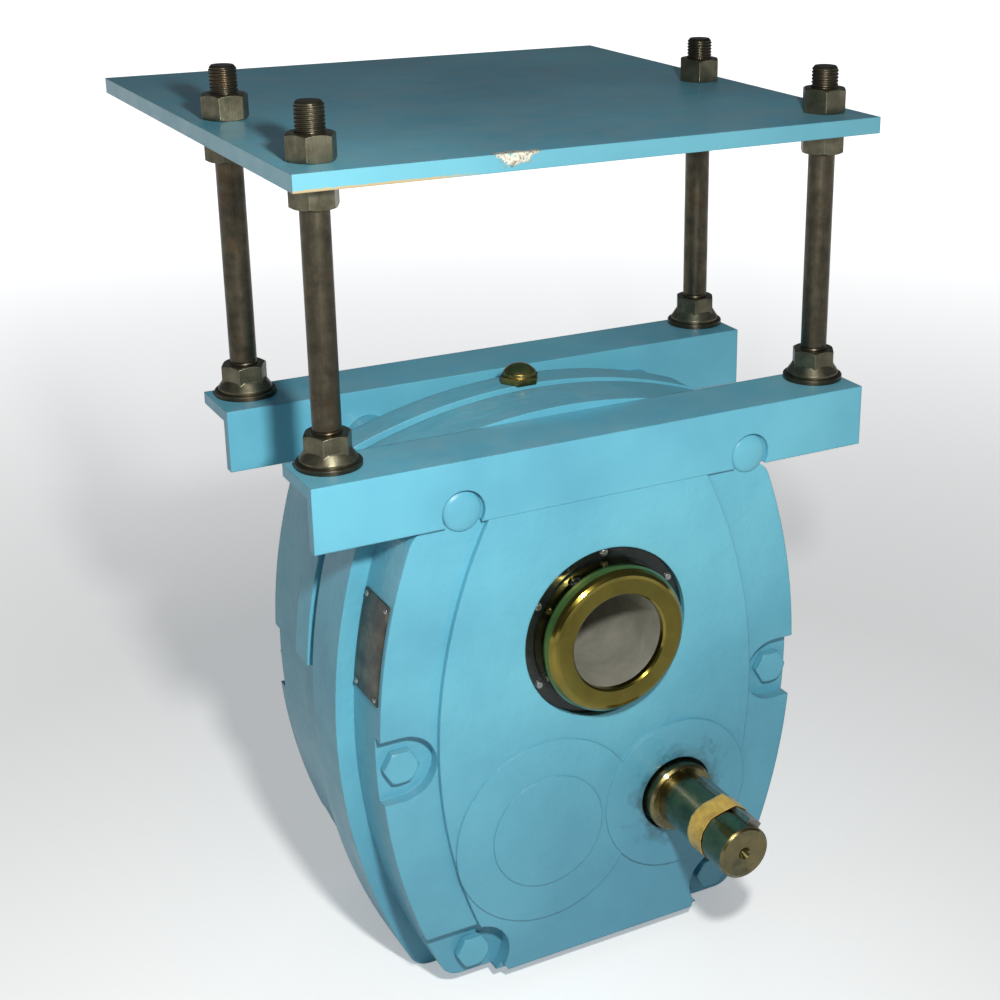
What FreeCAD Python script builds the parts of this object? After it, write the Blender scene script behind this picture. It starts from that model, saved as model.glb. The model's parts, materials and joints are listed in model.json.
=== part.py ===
import FreeCAD, Part

import math
import os
import re

import Sketcher
from FreeCAD import Placement, Rotation, Vector

# Shaft-mounted parallel-shaft speed reducer with a motor plate on four studs.
# X runs along the two rails, Y runs from the input side to the back, Z is up.
# The origin is on the axis of the hollow output shaft, half way through the casing.
# "front" is the input side (-Y). All sizes are millimetres.

os.makedirs("parts", exist_ok=True)
doc = FreeCAD.newDocument("shaft_mounted_reducer")

SIZES = {
    # Barrel-shaped casing, split across the shafts
    "casing_offset": -4.0,
    "casing_half_width": 176.0,
    "casing_side_radius": 455.0,
    "casing_side_height": -60.0,
    "casing_bottom": -267.0,
    "casing_corner": 18.0,
    "casing_wall": 10.0,
    "margin_depth": 110.0,
    "face_depth": 115.0,
    "face_half_width": 133.0,
    "face_radius": 400.0,
    "face_height": -72.0,
    "end_wall": 12.0,
    "dome_top": 148.0,
    "dome_radius": 400.0,
    "flange_lip": 14.0,
    "parting_lip": 6.0,
    "low_flange_top": -30.0,
    "parting_groove": 5.0,
    "parting_place": -8.0,
    "flange_front": -60.0,
    "flange_back": 24.0,
    "gasket_thickness": 1.0,
    # Casing through-bolts, M16
    "bolt_diameter": 16.0,
    "bolt_hole": 17.0,
    "bolt_flats": 24.0,
    "bolt_head": 7.0,
    "bolt_nut": 13.0,
    "bolt_boss": 18.0,
    "bolt_pocket": 26.0,
    "bolt_pocket_depth": 10.0,
    "side_bolt_reach": 159.0,
    "side_bolt_height": -72.0,
    "low_bolt_reach": 107.0,
    "low_bolt_height": -247.0,
    # Cup-head bolts, M12, that clamp the rails and the tops of the casing halves
    "top_bolt_reach": 118.0,
    "top_bolt_height": 118.0,
    "cup_bolt_diameter": 12.0,
    "cup_bolt_hole": 13.0,
    "cup_head": 30.0,
    "cup_head_height": 5.0,
    "cup_neck": 4.0,
    "cup_recess": 32.6,
    "cup_nut": 10.0,
    "cup_nut_flats": 18.0,
    "dowel_diameter": 8.0,
    "dowel_length": 24.0,
    "dowel_reach": 167.0,
    "dowel_height": 20.0,
    # Rails, studs and motor plate
    "rail_offset": 2.0,
    "rail_length": 446.0,
    "rail_depth": 55.0,
    "rail_wall": 9.0,
    "rail_bottom": 109.0,
    "rail_height": 47.0,
    "stud_offset": 5.5,
    "stud_diameter": 20.0,
    "stud_spacing": 399.0,
    "stud_setback": 38.0,
    "stud_foot": 36.0,
    "stud_top_left": 401.0,
    "stud_top_right": 397.0,
    "stud_clearance": 0.3,
    "stud_hole": 22.0,
    "nut_flats": 30.0,
    "nut_height": 18.0,
    "washer_diameter": 46.0,
    "washer_thickness": 4.0,
    "plate_offset": 4.0,
    "plate_width": 450.0,
    "plate_top": 363.0,
    "plate_thickness": 12.0,
    "plate_depth": 444.0,
    # Gears
    "pressure_angle": 20.0,
    "tooth_thinning": 0.3,
    "low_module": 4.0,
    "low_pinion_teeth": 18.0,
    "low_gear_teeth": 63.0,
    "high_module": 2.5,
    "high_pinion_teeth": 20.0,
    "high_gear_teeth": 70.0,
    "middle_shaft_reach": -51.0,
    "low_gear_start": -43.0,
    "low_gear_width": 50.0,
    "high_gear_start": 22.0,
    "high_gear_width": 36.0,
    "pinion_overhang": 3.0,
    "low_web_outer": 108.0,
    "low_web_inner": 78.0,
    "low_web_depth": 15.0,
    "high_web_outer": 74.0,
    "high_web_inner": 45.0,
    "high_web_depth": 9.0,
    "output_key_width": 24.0,
    "output_key_height": 12.0,
    "middle_key_width": 18.0,
    "middle_key_height": 11.0,
    "gear_key_sunk": 7.0,
    # Output sleeve and what is on it
    "sleeve_bore": 75.0,
    "sleeve_seat": 100.0,
    "sleeve_waist": 110.0,
    "sleeve_shoulder": 126.0,
    "sleeve_end": 129.0,
    "sleeve_keyway_width": 20.0,
    "sleeve_keyway_depth": 4.9,
    "output_bearing_outer": 150.0,
    "output_bearing_width": 24.0,
    "output_bearing_start": 69.0,
    "output_boss": 174.0,
    "output_seal_outer": 120.0,
    "output_seal_width": 12.0,
    "hub_opening": 135.0,
    "hub_opening_depth": 10.0,
    "seal_ring_bore": 106.0,
    "seal_ring_thickness": 5.0,
    "collar_diameter": 116.0,
    "collar_nose": 100.0,
    "collar_end": 135.0,
    "collar_start": 111.5,
    # Middle shaft
    "middle_bearing_bore": 50.0,
    "middle_bearing_outer": 110.0,
    "middle_bearing_width": 27.0,
    "small_bearing_end": 97.0,
    "middle_boss": 134.0,
    "middle_gear_seat": 60.0,
    # Input shaft
    "input_tip": -215.0,
    "input_diameter": 42.0,
    "input_bearing_bore": 45.0,
    "input_bearing_outer": 100.0,
    "input_bearing_width": 25.0,
    "input_boss": 124.0,
    "input_seal_outer": 62.0,
    "input_seal_width": 8.0,
    "input_seal_start": -109.0,
    "input_collar_diameter": 57.0,
    "input_collar_end": -127.0,
    "input_key_width": 12.0,
    "input_key_height": 8.0,
    "input_key_sunk": 5.0,
    "input_key_start": -208.0,
    "input_key_length": 72.0,
    "input_key_angle": 35.0,
    "tape_start": -188.0,
    "tape_width": 19.0,
    "tape_thickness": 0.5,
    "face_boss_height": 1.5,
    "input_face_boss": 126.0,
    "middle_face_boss": 152.0,
    "middle_face_inner": 92.0,
    "rear_cover_diameter": 130.0,
    "rear_cover_thickness": 9.0,
    # Plugs and plate
    "breather_x": -8.0,
    "breather_flats": 27.0,
    "breather_thread": 18.0,
    "plug_flats": 22.0,
    "plug_thread": 18.0,
    "name_plate_height": 74.0,
    "name_plate_low": -20.0,
    "name_plate_width": 42.0,
    "name_plate_thickness": 1.0,
    "running_gap": 0.15,
}

sheet = doc.addObject("Spreadsheet::Sheet", "Sizes")
for row, (alias, number) in enumerate(SIZES.items(), start=1):
    sheet.set(f"A{row}", alias)
    sheet.set(f"B{row}", str(number))
    sheet.setAlias(f"B{row}", alias)
doc.recompute()


def sheet_name(word):
    """A matched word, written as a reference to the sheet if it is the name of a size."""
    return f"Sizes.{word.group()}" if word.group() in SIZES else word.group()


def bound(expression):
    """The expression with every size name written as a reference to the sheet."""
    return re.sub(r"[a-z][a-z_]+", sheet_name, str(expression))


def value(expression):
    """What the expression comes to with the sheet's present numbers."""
    return float(sheet.evalExpression(bound(expression)))


def origin_plane(body, role):
    return next(item for item in body.Origin.OriginFeatures if item.Role == role)


def new_sketch(body, name, role, level="0"):
    """A sketch on one of the body's own planes, moved along the plane's normal by level."""
    sketch = body.newObject("Sketcher::SketchObject", name)
    sketch.AttachmentSupport = [(origin_plane(body, role), "")]
    sketch.MapMode = "FlatFace"
    sketch.setExpression("AttachmentOffset.Base.z", bound(level))
    return sketch


def hold_point(sketch, geometry, point, across, along):
    """Ties a point of a sketch to two expressions, measured from the sketch's origin."""
    for kind, axis, expression in (("DistanceX", -2, across), ("DistanceY", -1, along)):
        if value(expression) == 0:
            sketch.addConstraint(Sketcher.Constraint("PointOnObject", geometry, point, axis))
            continue
        distance = Sketcher.Constraint(kind, -1, 1, geometry, point, value(expression))
        index = sketch.addConstraint(distance)
        sketch.setExpression(f"Constraints[{index}]", bound(expression))


def draw_polygon(sketch, corners):
    """A closed outline through corners, each a pair of expressions."""
    first = sketch.GeometryCount
    count = len(corners)
    spots = [Vector(value(across), value(along), 0) for across, along in corners]
    for index in range(count):
        sketch.addGeometry(Part.LineSegment(spots[index], spots[(index + 1) % count]), False)
    for index in range(count):
        after = first + (index + 1) % count
        sketch.addConstraint(Sketcher.Constraint("Coincident", first + index, 2, after, 1))
    for index, (across, along) in enumerate(corners):
        hold_point(sketch, first + index, 1, across, along)


def draw_circle(sketch, across, along, diameter):
    spot = Vector(value(across), value(along), 0)
    circle = Part.Circle(spot, Vector(0, 0, 1), value(diameter) / 2)
    index = sketch.addGeometry(circle, False)
    hold_point(sketch, index, 3, across, along)
    size = sketch.addConstraint(Sketcher.Constraint("Diameter", index, value(diameter)))
    sketch.setExpression(f"Constraints[{size}]", bound(diameter))


def draw_wire(sketch, wire):
    """Copies the lines and arcs of a flat wire into the sketch."""
    for edge in wire.Edges:
        first, last = edge.ParameterRange
        start = edge.valueAt(first)
        middle = edge.valueAt((first + last) / 2)
        finish = edge.valueAt(last)
        if edge.Curve.TypeId == "Part::GeomLine":
            sketch.addGeometry(Part.LineSegment(start, finish), False)
            continue
        if (middle - start).cross(finish - middle).z < 0:
            start, finish = finish, start
        sketch.addGeometry(Part.Arc(start, middle, finish), False)


def place(item, x="0", y="0", z="0"):
    for axis, expression in (("x", x), ("y", y), ("z", z)):
        item.setExpression(f"Placement.Base.{axis}", bound(expression))
    return item


def new_body(label):
    body = doc.addObject("PartDesign::Body", label)
    body.Label = label
    return body


def turned(label, profile, axis="Y", x="0", y="0", z="0"):
    """A turned piece: profile is its half section as (radius, distance along the axis)."""
    body = new_body(label)
    sketch = new_sketch(body, f"{label}_section", "XY_Plane" if axis == "Y" else "XZ_Plane")
    draw_polygon(sketch, profile)
    revolution = body.newObject("PartDesign::Revolution", f"{label}_turned")
    revolution.Profile = sketch
    revolution.ReferenceAxis = (sketch, ["V_Axis"])
    revolution.Angle = 360
    return place(body, x, y, z)


def ring(label, outer, inner, start, finish, x="0", z="0"):
    """A plain ring around Y."""
    profile = [(f"({inner}) / 2", start), (f"({outer}) / 2", start)]
    profile += [(f"({outer}) / 2", finish), (f"({inner}) / 2", finish)]
    return turned(label, profile, "Y", x, "0", z)


def quarter_curve(inner, outer, low, high, steps=5):
    """Half-section points on a quarter ellipse, from (outer, low) up to, but not on, (inner, high)."""
    points = []
    for step in range(steps):
        turn = 90 * step / steps
        radius = f"({inner}) + (({outer}) - ({inner})) * cos({turn})"
        points.append((radius, f"({low}) + (({high}) - ({low})) * sin({turn})"))
    return points


def feature_across(body, kind, name, draw, start, finish):
    """A Pad or Pocket between two places along Y, from what draw puts in its sketch."""
    sketch = new_sketch(body, f"{name}_sketch", "XZ_Plane", f"-1 * ({start})")
    draw(sketch)
    feature = body.newObject(f"PartDesign::{kind}", name)
    feature.Profile = sketch
    feature.setExpression("Length", bound(f"({finish}) - ({start})"))
    feature.Reversed = kind == "Pad"
    return feature


def feature_down(body, kind, name, draw, top, depth):
    """A Pad or Pocket that goes down from the height top."""
    sketch = new_sketch(body, f"{name}_sketch", "XY_Plane", top)
    draw(sketch)
    feature = body.newObject(f"PartDesign::{kind}", name)
    feature.Profile = sketch
    feature.setExpression("Length", bound(depth))
    feature.Reversed = kind == "Pad"
    return feature


def circles(spots):
    """A drawing of circles, each (across, along, diameter)."""
    def draw(sketch):
        for across, along, diameter in spots:
            draw_circle(sketch, across, along, diameter)
    return draw


def shape_part(label, shape):
    """A sub-part whose shape is worked out in code from the sheet's sizes."""
    part = doc.addObject("Part::Feature", label)
    part.Label = label
    part.Shape = shape
    return part


def repeated(label, form, places):
    """Copies of a form's shape at several places, kept apart as separate solids."""
    copies = []
    for spot in places:
        copy = form.Shape.copy()
        move = spot if isinstance(spot, Placement) else Placement(Vector(*spot), Rotation())
        copy.Placement = move.multiply(copy.Placement)
        copies.append(copy)
    return shape_part(label, Part.makeCompound(copies))


def hexagon(label, flats, height, bore="0", chamfer="1.5", axis="Z"):
    """A hexagonal prism along an axis with its corners broken by a cone, and a bore."""
    reach = f"({flats}) / 2 / cos(30)"
    inner = f"({bore}) / 2"
    profile = [(inner, "0"), (f"({flats}) / 2", "0"), (f"{reach} + 0.2", chamfer)]
    profile += [(f"{reach} + 0.2", f"{height} - {chamfer}"), (f"({flats}) / 2", height)]
    profile.append((inner, height))
    turning = turned(f"{label}_turning", profile, axis)
    prism = doc.addObject("Part::Prism", f"{label}_prism")
    prism.Polygon = 6
    prism.setExpression("Circumradius", bound(reach))
    prism.setExpression("Height", bound(height))
    if axis == "Y":
        prism.Placement = Placement(Vector(), Rotation(Vector(1, 0, 0), -90))
    both = doc.addObject("Part::Common", label)
    both.Base = turning
    both.Tool = prism
    return both


# Shaft places. The middle shaft stands one low-speed centre distance from the output axis,
# and the input shaft one high-speed centre distance to its right, at the same height.
MIDDLE_X = "middle_shaft_reach"
MIDDLE_Z = (
    "-1 * sqrt((low_module * (low_pinion_teeth + low_gear_teeth) / 2) ^ 2 "
    "- middle_shaft_reach ^ 2)"
)
INPUT_X = "middle_shaft_reach + high_module * (high_pinion_teeth + high_gear_teeth) / 2"
INPUT_Z = MIDDLE_Z
LOW_GEAR_END = "low_gear_start + low_gear_width"
HIGH_GEAR_END = "high_gear_start + high_gear_width"
RAIL_TOP = "rail_bottom + rail_height"
RAIL_UNDER = f"{RAIL_TOP} - rail_wall"
FRONT_WALL = "rail_wall - face_depth"
REAR_WALL = "face_depth - rail_depth"
PLATE_BOTTOM = "plate_top - plate_thickness"


def bolt_spots(reach, height, middle="casing_offset"):
    """The pair of places left and right of a middle."""
    return [(f"{middle} + {side} * {reach}", height) for side in (-1, 1)]


SIDE_BOLTS = bolt_spots("side_bolt_reach", "side_bolt_height")
LOW_BOLTS = bolt_spots("low_bolt_reach", "low_bolt_height")
TOP_BOLTS = bolt_spots("top_bolt_reach", "top_bolt_height", "stud_offset")
CASING_BOLTS = SIDE_BOLTS + LOW_BOLTS
DOWELS = bolt_spots("dowel_reach", "dowel_height")


# ---------------------------------------------------------------- casing outlines


def meet(first, first_radius, second, second_radius):
    """Where two circles cross, taking the upper of the two points."""
    apart = second - first
    distance = apart.Length
    along = (distance ** 2 + first_radius ** 2 - second_radius ** 2) / (2 * distance)
    height = math.sqrt(first_radius ** 2 - along ** 2)
    direction = apart / distance
    across = Vector(-direction.y, direction.x, 0)
    points = [first + direction * along + across * height * side for side in (-1, 1)]
    return max(points, key=lambda point: point.y)


def rounded(wire, radius):
    """The wire with its outward corners rounded."""
    return wire.makeOffset2D(-radius).makeOffset2D(radius)


def barrel(grow, domed, corner):
    """The casing's outline grown by a distance, with a flat top or a domed one."""
    middle = value("casing_offset")
    radius = value("casing_side_radius") + grow
    shift = value("casing_half_width - casing_side_radius")
    level = value("casing_side_height")
    bottom = value("casing_bottom") - grow
    right = Vector(middle + shift, level, 0)

    def side(height):
        return shift + math.sqrt(radius ** 2 - (height - level) ** 2)

    if domed:
        dome_radius = value("dome_radius") + grow
        dome = Vector(middle, value("dome_top - dome_radius"), 0)
        corner_point = meet(right, radius, dome, dome_radius)
        top = corner_point.y
        top_reach = corner_point.x - middle
        crown = Part.Arc(
            Vector(middle + top_reach, top, 0),
            Vector(middle, value("dome_top") + grow, 0),
            Vector(middle - top_reach, top, 0),
        )
    else:
        top = value("rail_bottom") + min(grow, 0)
        top_reach = side(top)
        crown = Part.LineSegment(
            Vector(middle + top_reach, top, 0), Vector(middle - top_reach, top, 0)
        )
    foot = side(bottom)
    belly = side(level)
    edges = [
        crown,
        Part.Arc(
            Vector(middle - top_reach, top, 0),
            Vector(middle - belly, level, 0),
            Vector(middle - foot, bottom, 0),
        ),
        Part.LineSegment(Vector(middle - foot, bottom, 0), Vector(middle + foot, bottom, 0)),
        Part.Arc(
            Vector(middle + foot, bottom, 0),
            Vector(middle + belly, level, 0),
            Vector(middle + top_reach, top, 0),
        ),
    ]
    return rounded(Part.Wire([edge.toShape() for edge in edges]), corner)


def raised_face():
    """The outline of the raised middle of an end face: two arcs, a flat top and bottom."""
    middle = value("casing_offset")
    radius = value("face_radius")
    level = value("face_height")
    shift = value("face_half_width") - radius
    ends = [value("rail_bottom"), value("casing_bottom")]
    reach = [shift + math.sqrt(radius ** 2 - (height - level) ** 2) for height in ends]
    high, low = [
        [Vector(middle + side * across, height, 0) for side in (-1, 1)]
        for across, height in zip(reach, ends)
    ]
    belly = [Vector(middle + side * value("face_half_width"), level, 0) for side in (-1, 1)]
    edges = [
        Part.LineSegment(high[1], high[0]),
        Part.Arc(high[0], belly[0], low[0]),
        Part.LineSegment(low[0], low[1]),
        Part.Arc(low[1], belly[1], high[1]),
    ]
    return Part.Wire([edge.toShape() for edge in edges])


def bolt_pocket(spot):
    """The outline of a spot-faced pocket round a bolt head, open to the casing's side."""
    across, along = (value(part) for part in spot)
    outward = 1 if across > value("casing_offset") else -1
    radius = value("bolt_pocket")
    far = across + outward * 4 * radius
    top = Vector(across, along + radius, 0)
    low = Vector(across, along - radius, 0)
    edges = [
        Part.Arc(top, Vector(across - outward * radius, along, 0), low),
        Part.LineSegment(low, Vector(far, along - radius, 0)),
        Part.LineSegment(Vector(far, along - radius, 0), Vector(far, along + radius, 0)),
        Part.LineSegment(Vector(far, along + radius, 0), top),
    ]
    return Part.Wire([edge.toShape() for edge in edges])


def wires(*outlines):
    def draw(sketch):
        for outline in outlines:
            draw_wire(sketch, outline)
    return draw


def holes_at(spots, diameter):
    return circles([(across, along, diameter) for across, along in spots])


# ---------------------------------------------------------------- casing halves


def casing_half(label, side):
    """One half of the casing. side is -1 for the front half and 1 for the rear half."""
    body = new_body(label)
    corner = value("casing_corner")
    wall = value("casing_wall")
    front = side < 0
    joint = "parting_place" if front else "parting_place + gasket_thickness"
    groove = f"{joint} + {side} * parting_groove"
    flange_end = "flange_front" if front else "flange_back"

    def across(kind, name, draw, near, far):
        """A feature between two depths. near is the one further from the end face."""
        start, finish = (far, near) if front else (near, far)
        return feature_across(body, kind, f"{label}_{name}", draw, start, finish)

    margin = f"{side} * margin_depth"
    face = f"{side} * face_depth"
    inner_end = f"{side} * (margin_depth - end_wall)"
    across("Pad", "block", wires(barrel(0, False, corner)), joint, margin)
    across("Pad", "flange", wires(barrel(value("flange_lip"), True, corner)), groove, flange_end)
    lip = barrel(value("parting_lip"), True, corner)
    across("Pad", "lip", wires(lip), joint, f"{groove} + {side}")
    across("Pad", "raised_face", wires(raised_face()), f"{margin} - {side}", face)
    across("Pocket", "cavity", wires(barrel(-wall, False, corner)), joint, inner_end)
    dome_end = f"{flange_end} - {side} * casing_wall"
    across("Pocket", "dome_cavity", wires(barrel(-wall, True, corner)), joint, dome_end)

    bosses = [
        ("output_boss", "0", "0", "output_boss", "output_bearing_start"),
        ("middle_boss", MIDDLE_X, MIDDLE_Z, "middle_boss", "small_bearing_end - middle_bearing_width"),
        ("input_boss", INPUT_X, INPUT_Z, "input_boss", "small_bearing_end - input_bearing_width"),
    ]
    for name, x, z, diameter, start in bosses:
        near = f"{side} * ({start})"
        across("Pad", name, circles([(x, z, diameter)]), near, f"{inner_end} + {side}")
    across("Pad", "bolt_bosses", holes_at(CASING_BOLTS, "2 * bolt_boss"), joint, f"{inner_end} + {side}")
    pocket_backs = holes_at(CASING_BOLTS, "2 * bolt_pocket + 10")
    across("Pad", "pocket_backs", pocket_backs, f"{inner_end} - {side} * 14", f"{inner_end} + {side}")
    trim_to_barrel(body, label, joint, face, side)
    across("Pad", "top_bosses", holes_at(TOP_BOLTS, "2 * bolt_boss"), joint, dome_end)
    rail_wall = FRONT_WALL if front else REAR_WALL
    across("Pad", "rail_spacers", holes_at(TOP_BOLTS, "2 * bolt_boss"), f"{flange_end} - {side}", rail_wall)

    boss_top = f"{face} + {side} * face_boss_height"
    across("Pad", "middle_face_boss", circles([(MIDDLE_X, MIDDLE_Z, "middle_face_boss")]),
           f"{face} - {side}", boss_top)
    across("Pad", "middle_face_inner", circles([(MIDDLE_X, MIDDLE_Z, "middle_face_inner")]),
           f"{face} - {side}", f"{boss_top} + {side} * 1")
    across("Pad", "input_face_boss", circles([(INPUT_X, INPUT_Z, "input_face_boss")]),
           f"{face} - {side}", f"{boss_top} + {side} * 1")

    beyond = f"{side} * (face_depth + 10)"
    seal_end = f"{side} * (output_bearing_start + output_bearing_width)"
    across("Pocket", "output_bearing_bore", circles([("0", "0", "output_bearing_outer")]),
           f"{side} * (output_bearing_start - 5)", seal_end)
    across("Pocket", "output_seal_bore", circles([("0", "0", "output_seal_outer")]),
           f"{seal_end} - {side}", beyond)
    across("Pocket", "hub_opening", circles([("0", "0", "hub_opening")]),
           f"{side} * (face_depth - hub_opening_depth)", beyond)
    across("Pocket", "middle_bearing_bore", circles([(MIDDLE_X, MIDDLE_Z, "middle_bearing_outer")]),
           f"{side} * (small_bearing_end - middle_bearing_width - 5)", f"{side} * small_bearing_end")
    input_bore_end = f"{side} * small_bearing_end" if front else beyond
    across("Pocket", "input_bearing_bore", circles([(INPUT_X, INPUT_Z, "input_bearing_outer")]),
           f"{side} * (small_bearing_end - input_bearing_width - 5)", input_bore_end)
    if front:
        across("Pocket", "input_seal_bore", circles([(INPUT_X, INPUT_Z, "input_seal_outer")]),
               "input_seal_start + input_seal_width", beyond)
        across("Pocket", "input_shaft_hole", circles([(INPUT_X, INPUT_Z, "input_bearing_bore + 5")]),
               "1 - small_bearing_end", beyond)
    across("Pocket", "bolt_holes", holes_at(CASING_BOLTS, "bolt_hole"), joint, beyond)
    across("Pocket", "top_bolt_holes", holes_at(TOP_BOLTS, "cup_bolt_hole"), joint, rail_wall)
    pocket_floor = f"{side} * (margin_depth - bolt_pocket_depth)"
    for index, spot in enumerate(CASING_BOLTS):
        across("Pocket", f"head_pocket_{index}", wires(bolt_pocket(spot)), pocket_floor, beyond)
    half_dowel = f"{joint} + {side} * dowel_length / 2"
    across("Pocket", "dowel_holes", holes_at(DOWELS, "dowel_diameter"), joint, half_dowel)
    return body


def trim_to_barrel(body, label, joint, face, side):
    """Cuts away what the bolt bosses stand out of the casing's sides, beyond the flange."""
    front = side < 0
    board = Part.Wire(Part.makePlane(900, 900, Vector(-450, -450, 0)).Edges)
    stages = [
        ("flange_trim", "parting_lip", True, joint, f"{joint} + {side} * parting_groove"),
        ("side_trim", "0", False, "flange_front" if front else "flange_back", face),
    ]
    for name, grow, domed, near, far in stages:
        start, finish = (far, near) if front else (near, far)
        inner = barrel(value(grow), domed, value("casing_corner"))
        feature_across(body, "Pocket", f"{label}_{name}", wires(board, inner), start, finish)


def trim_low_flange(body):
    """Cuts the lower part of the rear flange back to the height of the lip at the joint."""
    high = value("low_flange_top")
    board = Part.makePlane(900, 900, Vector(-450, high - 900, 0))
    kept = Part.Face(barrel(value("parting_lip"), True, value("casing_corner")))
    outline = board.cut(kept).Faces[0].OuterWire
    feature_across(body, "Pocket", "low_flange_trim", wires(outline), "parting_place + parting_groove",
                   "flange_back")


casing_half("front_casing", -1)
rear_casing = casing_half("rear_casing", 1)
trim_low_flange(rear_casing)
PLUGS_ACROSS = [("breather_x", "(parting_place + flange_back) / 2")]
feature_down(rear_casing, "Pocket", "breather_hole",
             circles([(*PLUGS_ACROSS[0], "breather_thread")]), "dome_top + 20", "40")
DRAIN_PLACE = ("casing_offset", "flange_back + 30")
feature_down(rear_casing, "Pocket", "drain_hole",
             circles([(*DRAIN_PLACE, "plug_thread")]), "casing_bottom + 20", "40")
LEVEL_PLACE = ("casing_offset + 150", "0")
feature_across(rear_casing, "Pocket", "level_hole",
               circles([(*LEVEL_PLACE, "plug_thread")]), "margin_depth - 30", "margin_depth + 10")


def gasket():
    """The thin sheet between the two halves."""
    body = new_body("casing_gasket")
    corner = value("casing_corner")
    outer = barrel(value("parting_lip"), True, corner)
    inner = barrel(-value("casing_wall"), True, corner)
    end = "parting_place + gasket_thickness"
    feature_across(body, "Pad", "gasket_sheet", wires(outer, inner), "parting_place", end)
    holes = holes_at(CASING_BOLTS, "bolt_hole"), holes_at(TOP_BOLTS, "cup_bolt_hole")
    for name, spots in zip(("bolt", "top_bolt", "dowel"), (*holes, holes_at(DOWELS, "dowel_diameter"))):
        feature_across(body, "Pocket", f"gasket_{name}_holes", spots, "parting_place", end)


gasket()

# ---------------------------------------------------------------- casing fasteners


def spots_at(spots, level):
    """Numbers for places given as (x, z) expressions at one depth."""
    return [(value(x), value(level), value(z)) for x, z in spots]


def hex_bolt(label, length):
    """A hex-head bolt along Y whose head ends at its own origin and points to -Y."""
    head = hexagon(f"{label}_head", "bolt_flats", "bolt_head", "0", "1.2", "Y")
    shank = turned(f"{label}_shank", [("0", "bolt_head - 1"), ("bolt_diameter / 2", "bolt_head - 1"),
                                      ("bolt_diameter / 2", f"bolt_head + {length} - 1.5"),
                                      ("bolt_diameter / 2 - 1.5", f"bolt_head + {length}"),
                                      ("0", f"bolt_head + {length}")])
    both = doc.addObject("Part::Fuse", label)
    both.Base = head
    both.Tool = shank
    return both


def cup_bolt(label, length):
    """A cup-head bolt along Y with a square neck. Its crown is at its own origin, towards -Y."""
    tip = f"cup_head_height + {length}"
    crown = quarter_curve("0", "cup_head / 2", "cup_head_height - 1", "0")
    blank = turned(f"{label}_turning", [("0", "0")] + crown[::-1] + [
        ("cup_head / 2", "cup_head_height"),
        ("cup_bolt_diameter / 2", "cup_head_height"),
        ("cup_bolt_diameter / 2", f"{tip} - 1.5"),
        ("cup_bolt_diameter / 2 - 1.5", tip),
        ("0", tip),
    ])
    neck = doc.addObject("Part::Box", f"{label}_neck")
    for side in ("Length", "Height"):
        neck.setExpression(side, bound("cup_bolt_diameter"))
    neck.setExpression("Width", bound("cup_neck"))
    place(neck, "-1 * cup_bolt_diameter / 2", "cup_head_height", "-1 * cup_bolt_diameter / 2")
    both = doc.addObject("Part::Fuse", label)
    both.Base = blank
    both.Tool = neck
    return both


POCKET_FLOOR = "margin_depth - bolt_pocket_depth"
CUP_SEAT = "cup_head_height - face_depth"
CUP_NUT_SEAT = f"{REAR_WALL} + rail_wall"
casing_bolt = hex_bolt("casing_bolt_form", f"(2 * ({POCKET_FLOOR}) + bolt_nut + 4)")
casing_nut = hexagon("casing_nut_form", "bolt_flats", "bolt_nut", "bolt_hole", "1.2", "Y")
rail_bolt = cup_bolt("rail_bolt_form", f"({CUP_NUT_SEAT}) - ({CUP_SEAT}) + cup_nut + 3")
rail_bolt_nut = hexagon("rail_bolt_nut_form", "cup_nut_flats", "cup_nut", "cup_bolt_diameter", "1", "Y")
doc.recompute()
repeated("casing_bolts", casing_bolt, spots_at(CASING_BOLTS, f"-1 * ({POCKET_FLOOR}) - bolt_head"))
repeated("casing_nuts", casing_nut, spots_at(CASING_BOLTS, POCKET_FLOOR))
repeated("rail_clamp_bolts", rail_bolt, spots_at(TOP_BOLTS, "-1 * face_depth"))
repeated("rail_clamp_nuts", rail_bolt_nut, spots_at(TOP_BOLTS, CUP_NUT_SEAT))
dowel = ring("dowel_form", "dowel_diameter", "0", "0", "dowel_length - 2")
doc.recompute()
repeated("dowel_pins", dowel, spots_at(DOWELS, "parting_place + 1 - dowel_length / 2"))

# ---------------------------------------------------------------- rails, studs and motor plate

STUD_X = [f"stud_offset + {side} * stud_spacing / 2" for side in (-1, 1)]
FRONT_STUD_Y = "stud_setback - face_depth"
REAR_STUD_Y = "face_depth - rail_depth + stud_setback"
STUDS = [(x, y) for y in (FRONT_STUD_Y, REAR_STUD_Y) for x in STUD_X]


def rectangle(left, right, low, high):
    def draw(sketch):
        draw_polygon(sketch, [(left, low), (right, low), (right, high), (left, high)])
    return draw


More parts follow.
